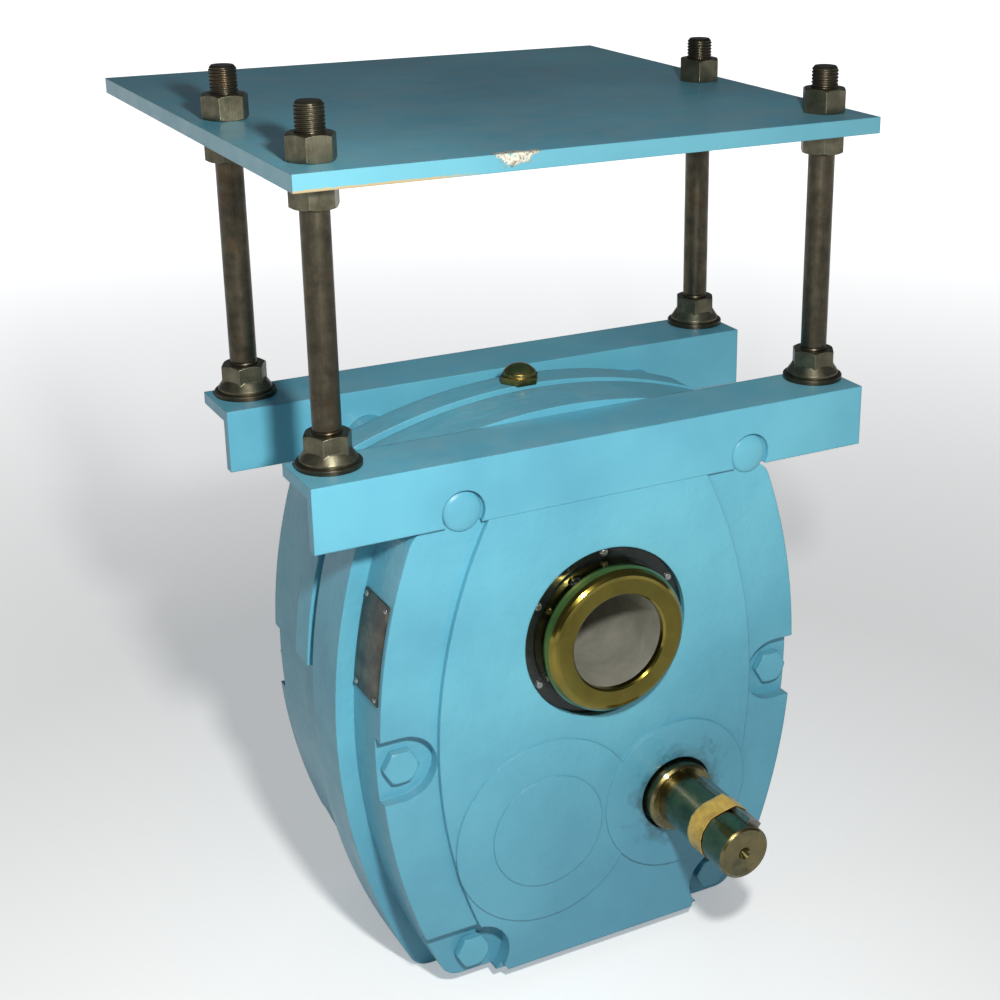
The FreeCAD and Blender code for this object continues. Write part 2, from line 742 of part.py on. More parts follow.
def rail(label, side):
    """An angle section: an upright wall on the casing's shoulders and a shelf for two studs."""
    body = new_body(label)
    left = "rail_offset - rail_length / 2"
    right = "rail_offset + rail_length / 2"
    near = "-1 * face_depth" if side < 0 else REAR_WALL
    behind = f"{near} + rail_wall"
    feature_across(body, "Pad", f"{label}_wall", rectangle(left, right, "rail_bottom", RAIL_TOP),
                   near, behind)
    feature_across(body, "Pad", f"{label}_shelf", rectangle(left, right, RAIL_UNDER, RAIL_TOP),
                   near, f"{near} + rail_depth")
    feature_across(body, "Pocket", f"{label}_bolt_holes", holes_at(TOP_BOLTS, "cup_bolt_hole"),
                   near, behind)
    if side < 0:
        feature_across(body, "Pocket", f"{label}_recesses", holes_at(TOP_BOLTS, "cup_recess"),
                       near, CUP_SEAT)
        half = "(cup_bolt_diameter / 2 + 0.2)"
        for index, (x, z) in enumerate(TOP_BOLTS):
            square = rectangle(f"{x} - {half}", f"{x} + {half}", f"{z} - {half}", f"{z} + {half}")
            feature_across(body, "Pocket", f"{label}_neck_{index}", square, CUP_SEAT, behind)
    row = FRONT_STUD_Y if side < 0 else REAR_STUD_Y
    holes = circles([(x, row, "stud_diameter + 1") for x in STUD_X])
    feature_down(body, "Pocket", f"{label}_stud_holes", holes, RAIL_TOP, "rail_wall")


rail("front_rail", -1)
rail("rear_rail", 1)

STUD_LOW = f"{RAIL_TOP} - stud_foot"
stud_end = "stud_diameter / 2 - 2"
for name, (x, y) in zip(("front_left", "front_right", "rear_left", "rear_right"), STUDS):
    top = "stud_top_left" if name.endswith("left") else "stud_top_right"
    profile = [("0", STUD_LOW), (stud_end, STUD_LOW), ("stud_diameter / 2", f"{STUD_LOW} + 2")]
    profile += [("stud_diameter / 2", f"{top} - 2.5"), (stud_end, top), ("0", top)]
    turned(f"stud_{name}", profile, "Z", x, y)


def stud_spots(level):
    return [(value(x), value(y), value(level)) for x, y in STUDS]


stud_nut = hexagon("stud_nut_form", "nut_flats", "nut_height", "stud_diameter + 2 * stud_clearance")
under_nut = hexagon("under_nut_form", "nut_flats", "nut_height", "stud_diameter")
flange_foot = turned("flange_foot_form", [("stud_diameter / 2 + stud_clearance", "0"),
                                          ("nut_flats / 2 + 5", "0"), ("nut_flats / 2 + 5", "2"),
                                          ("nut_flats / 2 + 1", "8"),
                                          ("stud_diameter / 2 + stud_clearance", "8")], "Z")
rail_nut = doc.addObject("Part::Fuse", "rail_nut_form")
rail_nut.Base = hexagon("rail_nut_hexagon", "nut_flats", "nut_height + 2",
                        "stud_diameter + 2 * stud_clearance")
rail_nut.Tool = flange_foot
stud_washer = turned("stud_washer_form", [("stud_diameter / 2 + 0.5", "0"),
                                          ("washer_diameter / 2", "0"),
                                          ("washer_diameter / 2", "washer_thickness - 0.8"),
                                          ("washer_diameter / 2 - 0.8", "washer_thickness"),
                                          ("stud_diameter / 2 + 0.5", "washer_thickness")], "Z")
doc.recompute()
repeated("rail_washers", stud_washer, stud_spots(RAIL_TOP))
repeated("rail_nuts", rail_nut, stud_spots(f"{RAIL_TOP} + washer_thickness"))
repeated("rail_under_nuts", under_nut, stud_spots(f"{RAIL_UNDER} - nut_height"))
repeated("plate_upper_nuts", stud_nut, stud_spots("plate_top"))
repeated("plate_lower_nuts", stud_nut, stud_spots(f"{PLATE_BOTTOM} - nut_height"))


def motor_plate():
    """The flat plate that carries the motor. Its front edge is flush with the front rail."""
    body = new_body("motor_plate")
    left = "plate_offset - plate_width / 2"
    right = "plate_offset + plate_width / 2"
    outline = rectangle(left, right, "-1 * face_depth", "plate_depth - face_depth")
    feature_down(body, "Pad", "plate_sheet", outline, "plate_top", "plate_thickness")
    holes = circles([(x, y, "stud_hole") for x, y in STUDS])
    feature_down(body, "Pocket", "plate_stud_holes", holes, "plate_top", "plate_thickness")


motor_plate()

# ---------------------------------------------------------------- gears


def involute(angle):
    return math.tan(angle) - angle


def toothed(module, teeth, turn, width):
    """A spur gear blank around Y from its own origin, with one tooth centred on the angle turn."""
    pressure = math.radians(value("pressure_angle"))
    pitch = module * teeth / 2
    base = pitch * math.cos(pressure)
    tip = pitch + module
    root = pitch - 1.25 * module
    half_tooth = math.pi / (2 * teeth) - value("tooth_thinning") / (2 * pitch)
    flank_start = max(base, root)
    steps = 5
    radii = [flank_start + (tip - flank_start) * step / (steps - 1) for step in range(steps)]

    def half_angle(radius):
        return half_tooth + involute(pressure) - involute(math.acos(min(base / radius, 1)))

    def at(radius, angle):
        return Vector(radius * math.cos(angle), 0, radius * math.sin(angle))

    edges = []
    for tooth in range(teeth):
        middle = turn + 2 * math.pi * tooth / teeth
        gap = middle + math.pi / teeth
        after = middle + 2 * math.pi / teeth - half_angle(flank_start)
        rising = [at(radius, middle - half_angle(radius)) for radius in radii]
        falling = [at(radius, middle + half_angle(radius)) for radius in reversed(radii)]
        for points in (rising, falling):
            flank = Part.BSplineCurve()
            flank.interpolate(points)
            edges.append(flank.toShape())
        edges.append(Part.Arc(rising[-1], at(tip, middle), falling[0]).toShape())
        last = middle + half_angle(flank_start)
        if root < base:
            edges.append(Part.LineSegment(falling[-1], at(root, last)).toShape())
            edges.append(Part.LineSegment(at(root, after), at(base, after)).toShape())
        edges.append(Part.Arc(at(root, last), at(root, gap), at(root, after)).toShape())
    outline = Part.Wire(Part.__sortEdges__(edges))
    return Part.Face(outline).extrude(Vector(0, width, 0))


def round_bar(radius, start, finish):
    return Part.makeCylinder(radius, finish - start, Vector(0, start, 0), Vector(0, 1, 0))


def key_block(width, low, high, start, finish):
    """A block along Y on the +Z side of an axis."""
    return Part.makeBox(width, finish - start, high - low, Vector(-width / 2, start, low))


LOW_START = value("low_gear_start")
LOW_END = value(LOW_GEAR_END)
HIGH_START = value("high_gear_start")
HIGH_END = value(HIGH_GEAR_END)
OVERHANG = value("pinion_overhang")
MESH_ANGLE = math.atan2(value(MIDDLE_Z), value(MIDDLE_X))
LOW_PINION_TEETH = round(value("low_pinion_teeth"))
HIGH_PINION_TEETH = round(value("high_pinion_teeth"))


def web_hollows(kind, start, finish):
    """The ring-shaped hollow in each face of the low or high gear."""
    outer, inner, depth = (value(f"{kind}_web_{word}") for word in ("outer", "inner", "depth"))
    hollows = []
    for near, far in ((start - 1, start + depth), (finish - depth, finish + 1)):
        hollows.append(round_bar(outer, near, far).cut(round_bar(inner, near, far)))
    return hollows


def output_gear():
    shape = toothed(value("low_module"), round(value("low_gear_teeth")), MESH_ANGLE,
                    LOW_END - LOW_START)
    shape.translate(Vector(0, LOW_START, 0))
    seat = value("sleeve_waist") / 2
    key_top = seat + value("output_key_height - gear_key_sunk")
    cuts = [round_bar(seat, LOW_START - 1, LOW_END + 1)]
    cuts.append(key_block(value("output_key_width"), 0, key_top + 0.4, LOW_START - 1, LOW_END + 1))
    cuts += web_hollows("low", LOW_START, LOW_END)
    shape_part("output_gear", shape.cut(cuts))


def middle_gear():
    shape = toothed(value("high_module"), round(value("high_gear_teeth")), 0, HIGH_END - HIGH_START)
    shape.translate(Vector(0, HIGH_START, 0))
    seat = value("middle_gear_seat") / 2
    key_top = seat + value("middle_key_height - gear_key_sunk")
    cuts = [round_bar(seat, HIGH_START - 1, HIGH_END + 1)]
    cuts.append(key_block(value("middle_key_width"), 0, key_top + 0.4, HIGH_START - 1, HIGH_END + 1))
    cuts += web_hollows("high", HIGH_START, HIGH_END)
    shape_part("middle_gear", shape.cut(cuts)).Placement.Base = Vector(value(MIDDLE_X), 0, value(MIDDLE_Z))


def stepped_shaft(label, steps, x, z):
    """A turned shaft around Y: steps is a list of (radius, where that radius ends), after a start."""
    start = steps[0]
    profile = [("0", start)]
    here = start
    for radius, finish in steps[1:]:
        profile += [(radius, here), (radius, finish)]
        here = finish
    profile.append(("0", here))
    return turned(label, profile, "Y", x, "0", z)


def key_at(label, kind, sunk, seat, start, length, x="0", z="0", angle=0):
    """A square-ended key lying in a shaft's surface, angle degrees from +Z towards +X."""
    low = value(f"{seat} / 2 - {sunk}")
    block = key_block(value(f"{kind}_width"), low, low + value(f"{kind}_height"), start, start + length)
    block.rotate(Vector(), Vector(0, 1, 0), angle)
    shape_part(label, block).Placement.Base = Vector(value(x), 0, value(z))


output_gear()
middle_gear()
SMALL_END = "small_bearing_end"
MIDDLE_BEARING = "small_bearing_end - middle_bearing_width"
INPUT_BEARING = "small_bearing_end - input_bearing_width"


def middle_shaft():
    blank = stepped_shaft("middle_shaft_turning", [
        f"-1 * {SMALL_END}",
        ("middle_bearing_bore / 2", f"-1 * ({MIDDLE_BEARING})"),
        ("middle_bearing_bore / 2 + 4", "low_gear_start - pinion_overhang"),
        ("low_module * low_pinion_teeth / 2 - 1.25 * low_module - 1",
         f"{LOW_GEAR_END} + pinion_overhang"),
        ("middle_gear_seat / 2 + 5", "high_gear_start"),
        ("middle_gear_seat / 2", f"{HIGH_GEAR_END} + 2"),
        ("middle_bearing_bore / 2 + 2", MIDDLE_BEARING),
        ("middle_bearing_bore / 2", SMALL_END),
    ], "0", "0")
    doc.recompute()
    turn = MESH_ANGLE + math.pi + math.pi / LOW_PINION_TEETH
    teeth = toothed(value("low_module"), LOW_PINION_TEETH, turn, LOW_END - LOW_START + 2 * OVERHANG)
    teeth.translate(Vector(0, LOW_START - OVERHANG, 0))
    seat = value("middle_gear_seat") / 2
    keyway = key_block(value("middle_key_width"), seat - value("gear_key_sunk"), seat + 20,
                       HIGH_START + 1, HIGH_END - 1)
    shape = blank.Shape.fuse(teeth).cut(keyway).removeSplitter()
    part = shape_part("middle_pinion_shaft", shape)
    part.Placement.Base = Vector(value(MIDDLE_X), 0, value(MIDDLE_Z))


def input_shaft():
    blank = stepped_shaft("input_shaft_turning", [
        "input_tip + 1.5",
        ("input_diameter / 2", f"-1 * {SMALL_END}"),
        ("input_bearing_bore / 2", f"-1 * ({INPUT_BEARING})"),
        ("input_bearing_bore / 2 + 4", "high_gear_start - pinion_overhang"),
        ("high_module * high_pinion_teeth / 2 - 1.25 * high_module - 0.4",
         f"{HIGH_GEAR_END} + pinion_overhang"),
        ("input_bearing_bore / 2 + 4", INPUT_BEARING),
        ("input_bearing_bore / 2", f"{SMALL_END} + 2"),
    ], "0", "0")
    nose = turned("input_shaft_nose", [
        ("0", "input_tip"), ("input_diameter / 2 - 2", "input_tip"),
        ("input_diameter / 2", "input_tip + 2"), ("0", "input_tip + 2"),
    ])
    doc.recompute()
    turn = math.pi + math.pi / HIGH_PINION_TEETH
    teeth = toothed(value("high_module"), HIGH_PINION_TEETH, turn, HIGH_END - HIGH_START + 2 * OVERHANG)
    teeth.translate(Vector(0, HIGH_START - OVERHANG, 0))
    seat = value("input_diameter / 2")
    start = value("input_key_start")
    keyway = key_block(value("input_key_width"), seat - value("input_key_sunk"), seat + 20,
                       start, start + value("input_key_length"))
    keyway.rotate(Vector(), Vector(0, 1, 0), value("input_key_angle"))
    tip_centre = Part.makeCone(5, 0, 8, Vector(0, value("input_tip"), 0), Vector(0, 1, 0))
    shape = blank.Shape.fuse([nose.Shape, teeth]).cut([keyway, tip_centre]).removeSplitter()
    part = shape_part("input_pinion_shaft", shape)
    part.Placement.Base = Vector(value(INPUT_X), 0, value(INPUT_Z))


middle_shaft()
input_shaft()
key_at("middle_gear_key", "middle_key", "gear_key_sunk", "middle_gear_seat", HIGH_START + 1,
       HIGH_END - HIGH_START - 2, MIDDLE_X, MIDDLE_Z)
key_at("input_key", "input_key", "input_key_sunk", "input_diameter", value("input_key_start"),
       value("input_key_length"), INPUT_X, INPUT_Z, value("input_key_angle"))


def key_tape():
    """The band wound round the input shaft to hold its key, so it bulges over the key."""
    start = value("tape_start")
    finish = start + value("tape_width")
    gap = 0.05
    shaft = value("input_diameter / 2") + gap
    skin = value("tape_thickness")
    top = value("input_diameter / 2 - input_key_sunk + input_key_height") + gap
    half = value("input_key_width") / 2 + gap
    band = round_bar(shaft + skin, start, finish)
    hollow = round_bar(shaft, start - 1, finish + 1)
    over = key_block(2 * (half + skin), 0, top + skin, start, finish)
    under = key_block(2 * half, 0, top, start - 1, finish + 1)
    over.rotate(Vector(), Vector(0, 1, 0), value("input_key_angle"))
    under.rotate(Vector(), Vector(0, 1, 0), value("input_key_angle"))
    tape = band.fuse(over).cut([hollow, under]).removeSplitter()
    shape_part("key_tape", tape).Placement.Base = Vector(value(INPUT_X), 0, value(INPUT_Z))


key_tape()
turned("input_collar", [
    ("input_diameter / 2 + 0.05", "input_collar_end"),
    ("input_collar_diameter / 2 - 2", "input_collar_end"),
    ("input_collar_diameter / 2", "input_collar_end + 2"),
    ("input_collar_diameter / 2", "input_seal_start - 1"),
    ("input_diameter / 2 + 0.05", "input_seal_start - 1"),
], "Y", INPUT_X, "0", INPUT_Z)
ring("input_seal", "input_seal_outer", "input_diameter + 0.1", "input_seal_start",
     "input_seal_start + input_seal_width", INPUT_X, INPUT_Z)

# ---------------------------------------------------------------- output sleeve


def output_sleeve():
    """The hollow output shaft: bearing seats, a waist for the gear, a shoulder and a keyway."""
    seat_end = "output_bearing_start"
    profile = [
        ("sleeve_bore / 2", "-1 * sleeve_end"),
        ("sleeve_seat / 2", "-1 * sleeve_end"),
        ("sleeve_seat / 2", f"-1 * {seat_end}"),
        ("sleeve_waist / 2", f"-1 * {seat_end}"),
        ("sleeve_waist / 2", LOW_GEAR_END),
        ("sleeve_shoulder / 2", LOW_GEAR_END),
        ("sleeve_shoulder / 2", f"{LOW_GEAR_END} + 8"),
        ("sleeve_waist / 2", f"{LOW_GEAR_END} + 8"),
        ("sleeve_waist / 2", seat_end),
        ("sleeve_seat / 2", seat_end),
        ("sleeve_seat / 2", "sleeve_end"),
        ("sleeve_bore / 2", "sleeve_end"),
    ]
    blank = turned("output_sleeve_turning", profile)
    doc.recompute()
    end = value("sleeve_end") + 1
    width = value("sleeve_keyway_width")
    bore = value("sleeve_bore / 2")
    waist = value("sleeve_waist / 2")
    cuts = [key_block(width, 0, bore + value("sleeve_keyway_depth"), -end, end)]
    cuts.append(key_block(value("output_key_width"), waist - value("gear_key_sunk"), waist + 20,
                          LOW_START + 1, LOW_END - 1))
    groove = round_bar(waist + 1, LOW_START - 3.1, LOW_START)
    cuts.append(groove.cut(round_bar(waist - 2, LOW_START - 4, LOW_START + 1)))
    shape_part("output_sleeve", blank.Shape.cut(cuts))


def circlip():
    """The open ring that holds the output gear against the sleeve's shoulder."""
    waist = value("sleeve_waist / 2")
    start = LOW_START - 3.05
    finish = LOW_START - 0.05
    band = round_bar(waist + 5, start, finish).cut(round_bar(waist - 1.9, start - 1, finish + 1))
    opening = Part.makeBox(16, 10, 20, Vector(-8, start - 3, -waist - 12))
    shape_part("output_gear_circlip", band.cut(opening))


output_sleeve()
circlip()
key_at("output_gear_key", "output_key", "gear_key_sunk", "sleeve_waist", LOW_START + 1,
       LOW_END - LOW_START - 2)

SET_SCREW_ANGLES = (120, 300)


def hub_collar(label, side):
    """The plated collar on one end of the sleeve, rounded off towards its nose."""
    start = f"{side} * collar_start"
    end = f"{side} * collar_end"
    shoulder = f"{side} * (collar_start + 12)"
    nose = quarter_curve("collar_nose / 2", "collar_diameter / 2", shoulder, end)
    base = [("sleeve_seat / 2", start), ("collar_diameter / 2", start)]
    blank = turned(f"{label}_turning", base + nose + [
        ("collar_nose / 2", end),
        ("sleeve_bore / 2 + 1.5", end),
        ("sleeve_bore / 2", f"{side} * (collar_end - 1.5)"),
        ("sleeve_bore / 2", f"{side} * sleeve_end"),
        ("sleeve_seat / 2", f"{side} * sleeve_end"),
    ])
    doc.recompute()
    level = value(f"{side} * (collar_start + 7)")
    holes = []
    for angle in SET_SCREW_ANGLES:
        turn = math.radians(angle)
        outward = Vector(math.cos(turn), 0, math.sin(turn))
        holes.append(Part.makeCylinder(5.05, 40, Vector(0, level, 0) + outward * 49, outward))
    shape_part(label, blank.Shape.cut(holes))


hub_collar("front_hub_collar", -1)
hub_collar("rear_hub_collar", 1)


def set_screw_form():
    """A socket set screw along Z with its point at its own origin."""
    body = Part.makeCylinder(5, 6, Vector(0, 0, 0))
    socket = Part.makePolygon([
        Vector(2.9 * math.cos(math.radians(60 * step)), 2.9 * math.sin(math.radians(60 * step)), 3)
        for step in range(7)
    ])
    return body.cut(Part.Face(socket).extrude(Vector(0, 0, 4)))


screws = []
for side in (-1, 1):
    for angle in SET_SCREW_ANGLES:
        screw = set_screw_form()
        turn = Rotation(Vector(0, 1, 0), 90 - angle)
        level = value(f"{side} * (collar_start + 7)")
        radius = value("sleeve_seat / 2")
        spot = turn.multVec(Vector(0, 0, radius))
        screw.Placement = Placement(spot + Vector(0, level, 0), turn)
        screws.append(screw)
shape_part("collar_set_screws", Part.makeCompound(screws))

SEAL_RING_SCREWS = 6
RING_SCREW_RADIUS = 63.0


def seal_ring(label, side):
    """The dark ring that closes the hub opening round the sleeve, held by small screws."""
    floor = value(f"{side} * (face_depth - hub_opening_depth)")
    top = floor + side * value("seal_ring_thickness")
    start, finish = sorted((floor, top))
    outer = value("hub_opening") / 2 - 0.2
    opening = round_bar(value("seal_ring_bore") / 2, start - 1, finish + 1)
    shape = round_bar(outer, start, finish).cut(opening)
    for screw in range(SEAL_RING_SCREWS):
        turn = 2 * math.pi * (screw + 0.5) / SEAL_RING_SCREWS
        spot = Vector(RING_SCREW_RADIUS * math.cos(turn), start - 1, RING_SCREW_RADIUS * math.sin(turn))
        shape = shape.cut(Part.makeCylinder(2.1, 10, spot, Vector(0, 1, 0)))
    shape_part(label, shape)


seal_ring("front_seal_ring", -1)
seal_ring("rear_seal_ring", 1)


def ring_screws():
    """Button-head screws through the two seal rings."""
    screws = []
    for side in (-1, 1):
        top = value(f"{side} * (face_depth - hub_opening_depth + seal_ring_thickness)")
        for screw in range(SEAL_RING_SCREWS):
            turn = 2 * math.pi * (screw + 0.5) / SEAL_RING_SCREWS
            spot = Vector(RING_SCREW_RADIUS * math.cos(turn), top, RING_SCREW_RADIUS * math.sin(turn))
            outward = Vector(0, side, 0)
            head = Part.makeCone(3.6, 2.4, 2, spot, outward)
            shank = Part.makeCylinder(2, value("seal_ring_thickness"), spot, outward * -1)
            screws.append(head.fuse(shank).removeSplitter())
    shape_part("seal_ring_screws", Part.makeCompound(screws))


ring_screws()
output_seal = ring("output_seal_form", "output_seal_outer", "sleeve_seat + 0.1", "0",
                   "output_seal_width - 0.2")
doc.recompute()
seal_start = value("output_bearing_start + output_bearing_width") + 0.1
repeated("output_seals", output_seal, [
    (0, seal_start, 0),
    (0, -seal_start - value("output_seal_width - 0.2"), 0),
])

# ---------------------------------------------------------------- bearings


def bearing(name, bore, outer, width, start, count, x, z):
    """The rings, balls and cages of the two equal ball bearings on one shaft."""
    gap = value("running_gap")
    middle = (bore + outer) / 4
    ball = 0.3 * (outer - bore) / 2
    spread = (outer - bore) / 2
    ring_height = 0.3 * spread
    pieces = {"outer_rings": [], "inner_rings": [], "balls": [], "cages": []}
    for side in (-1, 1):
        ends = sorted((side * start, side * (start + width)))
        centre = Vector(0, sum(ends) / 2, 0)
        track = Part.makeTorus(middle, ball + gap, centre, Vector(0, 1, 0))
        rings = [("outer_rings", outer / 2, outer / 2 - ring_height)]
        rings.append(("inner_rings", bore / 2 + ring_height, bore / 2))
        for kind, outside, inside in rings:
            hole = round_bar(inside, ends[0] - 1, ends[1] + 1)
            pieces[kind].append(round_bar(outside, *ends).cut([hole, track]))
        band = (centre.y - 1.2 * ball, centre.y + 1.2 * ball)
        cage = round_bar(middle + 1.2, *band).cut(round_bar(middle - 1.2, band[0] - 1, band[1] + 1))
        pockets = []
        for index in range(count):
            turn = 2 * math.pi * index / count
            outward = Vector(math.cos(turn), 0, math.sin(turn))
            pocket_start = centre + outward * (middle - spread / 4)
            pockets.append(Part.makeCylinder(ball + gap, spread / 2, pocket_start, outward))
            pieces["balls"].append(Part.makeSphere(ball, centre + outward * middle))
        pieces["cages"].append(cage.cut(pockets))
    for kind, shapes in pieces.items():
        part = shape_part(f"{name}_bearing_{kind}", Part.makeCompound(shapes))
        part.Placement.Base = Vector(value(x), 0, value(z))


bearing("output", value("sleeve_seat"), value("output_bearing_outer"), value("output_bearing_width"),
        value("output_bearing_start"), 13, "0", "0")
bearing("middle", value("middle_bearing_bore"), value("middle_bearing_outer"),
        value("middle_bearing_width"), value(MIDDLE_BEARING), 8, MIDDLE_X, MIDDLE_Z)
bearing("input", value("input_bearing_bore"), value("input_bearing_outer"),
        value("input_bearing_width"), value(INPUT_BEARING), 8, INPUT_X, INPUT_Z)

# ---------------------------------------------------------------- covers, plugs and name plate

COVER_SCREWS = 6
COVER_SCREW_RADIUS = 57.0


def rear_cover():
    """The round cover over the input shaft's rear bearing, on the back of the casing."""
    floor = "face_depth + face_boss_height + 1"
    blank = turned("rear_cover_turning", [
        ("0", f"{SMALL_END} + 6"),
        ("input_bearing_outer / 2 - 6", f"{SMALL_END} + 6"),
        ("input_bearing_outer / 2 - 6", SMALL_END),
        ("input_bearing_outer / 2 - 0.1", SMALL_END),
        ("input_bearing_outer / 2 - 0.1", floor),
        ("rear_cover_diameter / 2", floor),
        ("rear_cover_diameter / 2", f"{floor} + rear_cover_thickness - 2"),
        ("rear_cover_diameter / 2 - 2", f"{floor} + rear_cover_thickness"),
        ("0", f"{floor} + rear_cover_thickness"),
    ])
    doc.recompute()
    top = value(f"{floor} + rear_cover_thickness")
    thickness = value("rear_cover_thickness")
    holes = []
    screws = []
    for screw in range(COVER_SCREWS):
        turn = 2 * math.pi * (screw + 0.5) / COVER_SCREWS
        spot = Vector(COVER_SCREW_RADIUS * math.cos(turn), top, COVER_SCREW_RADIUS * math.sin(turn))
        holes.append(Part.makeCylinder(3.1, thickness + 1, spot, Vector(0, -1, 0)))
        shank = Part.makeCylinder(3, thickness, spot, Vector(0, -1, 0))
        head = Part.makeCylinder(5, 4, spot, Vector(0, 1, 0))
        socket = Part.makeCylinder(2.5, 3, spot + Vector(0, 2, 0), Vector(0, 1, 0))
        screws.append(head.fuse(shank).cut(socket).removeSplitter())
    shapes = {"rear_cover": blank.Shape.cut(holes), "rear_cover_screws": Part.makeCompound(screws)}
    for label, shape in shapes.items():
        shape_part(label, shape).Placement.Base = Vector(value(INPUT_X), 0, value(INPUT_Z))


rear_cover()


def plug(label, flats, thread, placement, domed):
    """A screw plug that stands along its own +Z: a thread, a hexagon and a flat or domed top."""
    thread_radius = value(thread) / 2 - 0.1
    flat = value(flats)
    shape = Part.makeCylinder(thread_radius, 11, Vector(0, 0, -10))
    corners = [
        Vector(flat / 2 / math.cos(math.pi / 6) * math.cos(math.pi * step / 3),
               flat / 2 / math.cos(math.pi / 6) * math.sin(math.pi * step / 3), 0.2)
        for step in range(7)
    ]
    height = 5 if domed else 8
    hexagonal = Part.Face(Part.makePolygon(corners)).extrude(Vector(0, 0, height))
    cone = Part.makeCone(flat / 2 + 9, flat / 2 - 0.5, height + 0.8, Vector(0, 0, 0.2))
    shape = shape.fuse(hexagonal.common(cone))
    if domed:
        cap_radius = flat / 2 - 1
        cap = Part.makeCylinder(cap_radius, 3, Vector(0, 0, height))
        crown = Part.makeSphere(cap_radius * 1.25, Vector(0, 0, height + 3 - cap_radius * 0.75))
        keep = Part.makeCylinder(cap_radius, 12, Vector(0, 0, height + 3))
        shape = shape.fuse([cap, crown.common(keep)])
    shape_part(label, shape.removeSplitter()).Placement = placement


BREATHER_TOP = value("dome_top + flange_lip")
plug("breather_plug", "breather_flats", "breather_thread",
     Placement(Vector(value("breather_x"), value(PLUGS_ACROSS[0][1]), BREATHER_TOP), Rotation()), True)
plug("drain_plug", "plug_flats", "plug_thread",
     Placement(Vector(value(DRAIN_PLACE[0]), value(DRAIN_PLACE[1]), value("casing_bottom")),
               Rotation(Vector(1, 0, 0), 180)), False)
plug("level_plug", "plug_flats", "plug_thread",
     Placement(Vector(value(LEVEL_PLACE[0]), value("margin_depth"), value(LEVEL_PLACE[1])),
               Rotation(Vector(1, 0, 0), -90)), False)


def name_plate():
    """A blank plate bent round the left side wall of the front half, with four small pins."""
    thickness = value("name_plate_thickness")
    radius = value("casing_side_radius")
    level = value("casing_side_height")
    centre = Vector(value("casing_offset - casing_half_width") + radius, 0, level)
    start = value("flange_front") - 3 - value("name_plate_width")
    width = value("name_plate_width")
    low = value("name_plate_low")
    height = value("name_plate_height")

    def shell(inner, outer):
        whole = Part.makeCylinder(outer, width, centre + Vector(0, start, 0), Vector(0, 1, 0))
        core = Part.makeCylinder(inner, width + 2, centre + Vector(0, start - 1, 0), Vector(0, 1, 0))
        slab = Part.makeBox(200, width, height, Vector(centre.x - radius - 20, start, low))
        return whole.cut(core).common(slab)

    plate = shell(radius + 0.05, radius + 0.05 + thickness)
    pins = []
    holes = []
    for along in (start + 4, start + width - 4):
        for high in (low + 4, low + height - 4):
            reach = math.sqrt(radius ** 2 - (high - level) ** 2)
            outward = Vector(-reach, 0, high - level).normalize()
            spot = Vector(centre.x, along, level) + outward * (radius + 0.1)
            holes.append(Part.makeCylinder(1.3, 6, spot - outward * 3, outward))
            shank = Part.makeCylinder(1.2, thickness, spot, outward)
            head = Part.makeSphere(2.6, spot + outward * (thickness - 1.2))
            above = Part.makeCylinder(3, 4, spot + outward * (thickness + 0.05), outward)
            neck = Part.makeCylinder(1.2, 0.3, spot + outward * (thickness - 0.1), outward)
            pins.append(shank.fuse([head.common(above), neck]))
    shape_part("name_plate", plate.cut(holes))
    shape_part("name_plate_pins", Part.makeCompound(pins))


name_plate()

# ---------------------------------------------------------------- checks and export

NODES = """
front_casing rear_casing casing_gasket casing_bolts casing_nuts dowel_pins rail_clamp_bolts
rail_clamp_nuts front_rail rear_rail stud_front_left stud_front_right stud_rear_left
stud_rear_right rail_washers rail_nuts rail_under_nuts plate_lower_nuts plate_upper_nuts motor_plate
input_pinion_shaft input_key key_tape input_collar input_seal middle_pinion_shaft middle_gear
middle_gear_key output_sleeve output_gear output_gear_key output_gear_circlip front_hub_collar
rear_hub_collar collar_set_screws front_seal_ring rear_seal_ring seal_ring_screws output_seals
rear_cover rear_cover_screws breather_plug drain_plug level_plug name_plate name_plate_pins
""".split()
for shaft in ("input", "middle", "output"):
    NODES += [f"{shaft}_bearing_{kind}" for kind in ("outer_rings", "inner_rings", "balls", "cages")]

doc.recompute()
for item in doc.Objects:
    if "Invalid" in item.State or "Error" in item.State:
        raise RuntimeError(f"{item.Label} failed: {item.State}")
for label in NODES:
    found = doc.getObjectsByLabel(label)
    if len(found) != 1:
        raise RuntimeError(f"{label} is in the document {len(found)} times")
    shape = found[0].Shape
    if shape.isNull() or not shape.isValid() or not shape.Solids:
        raise RuntimeError(f"{label} has no valid shape")
    shape.exportStep(f"parts/{label}.step")
    print(f"{label}: {len(shape.Solids)} solids, {shape.Volume / 1000:.1f} cm3")
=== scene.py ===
"""The looks of the shaft-mounted gear reducer: materials, threads, tape, camera, light and floor."""
import json
import math

import bpy
from mathutils import Matrix, Vector, noise


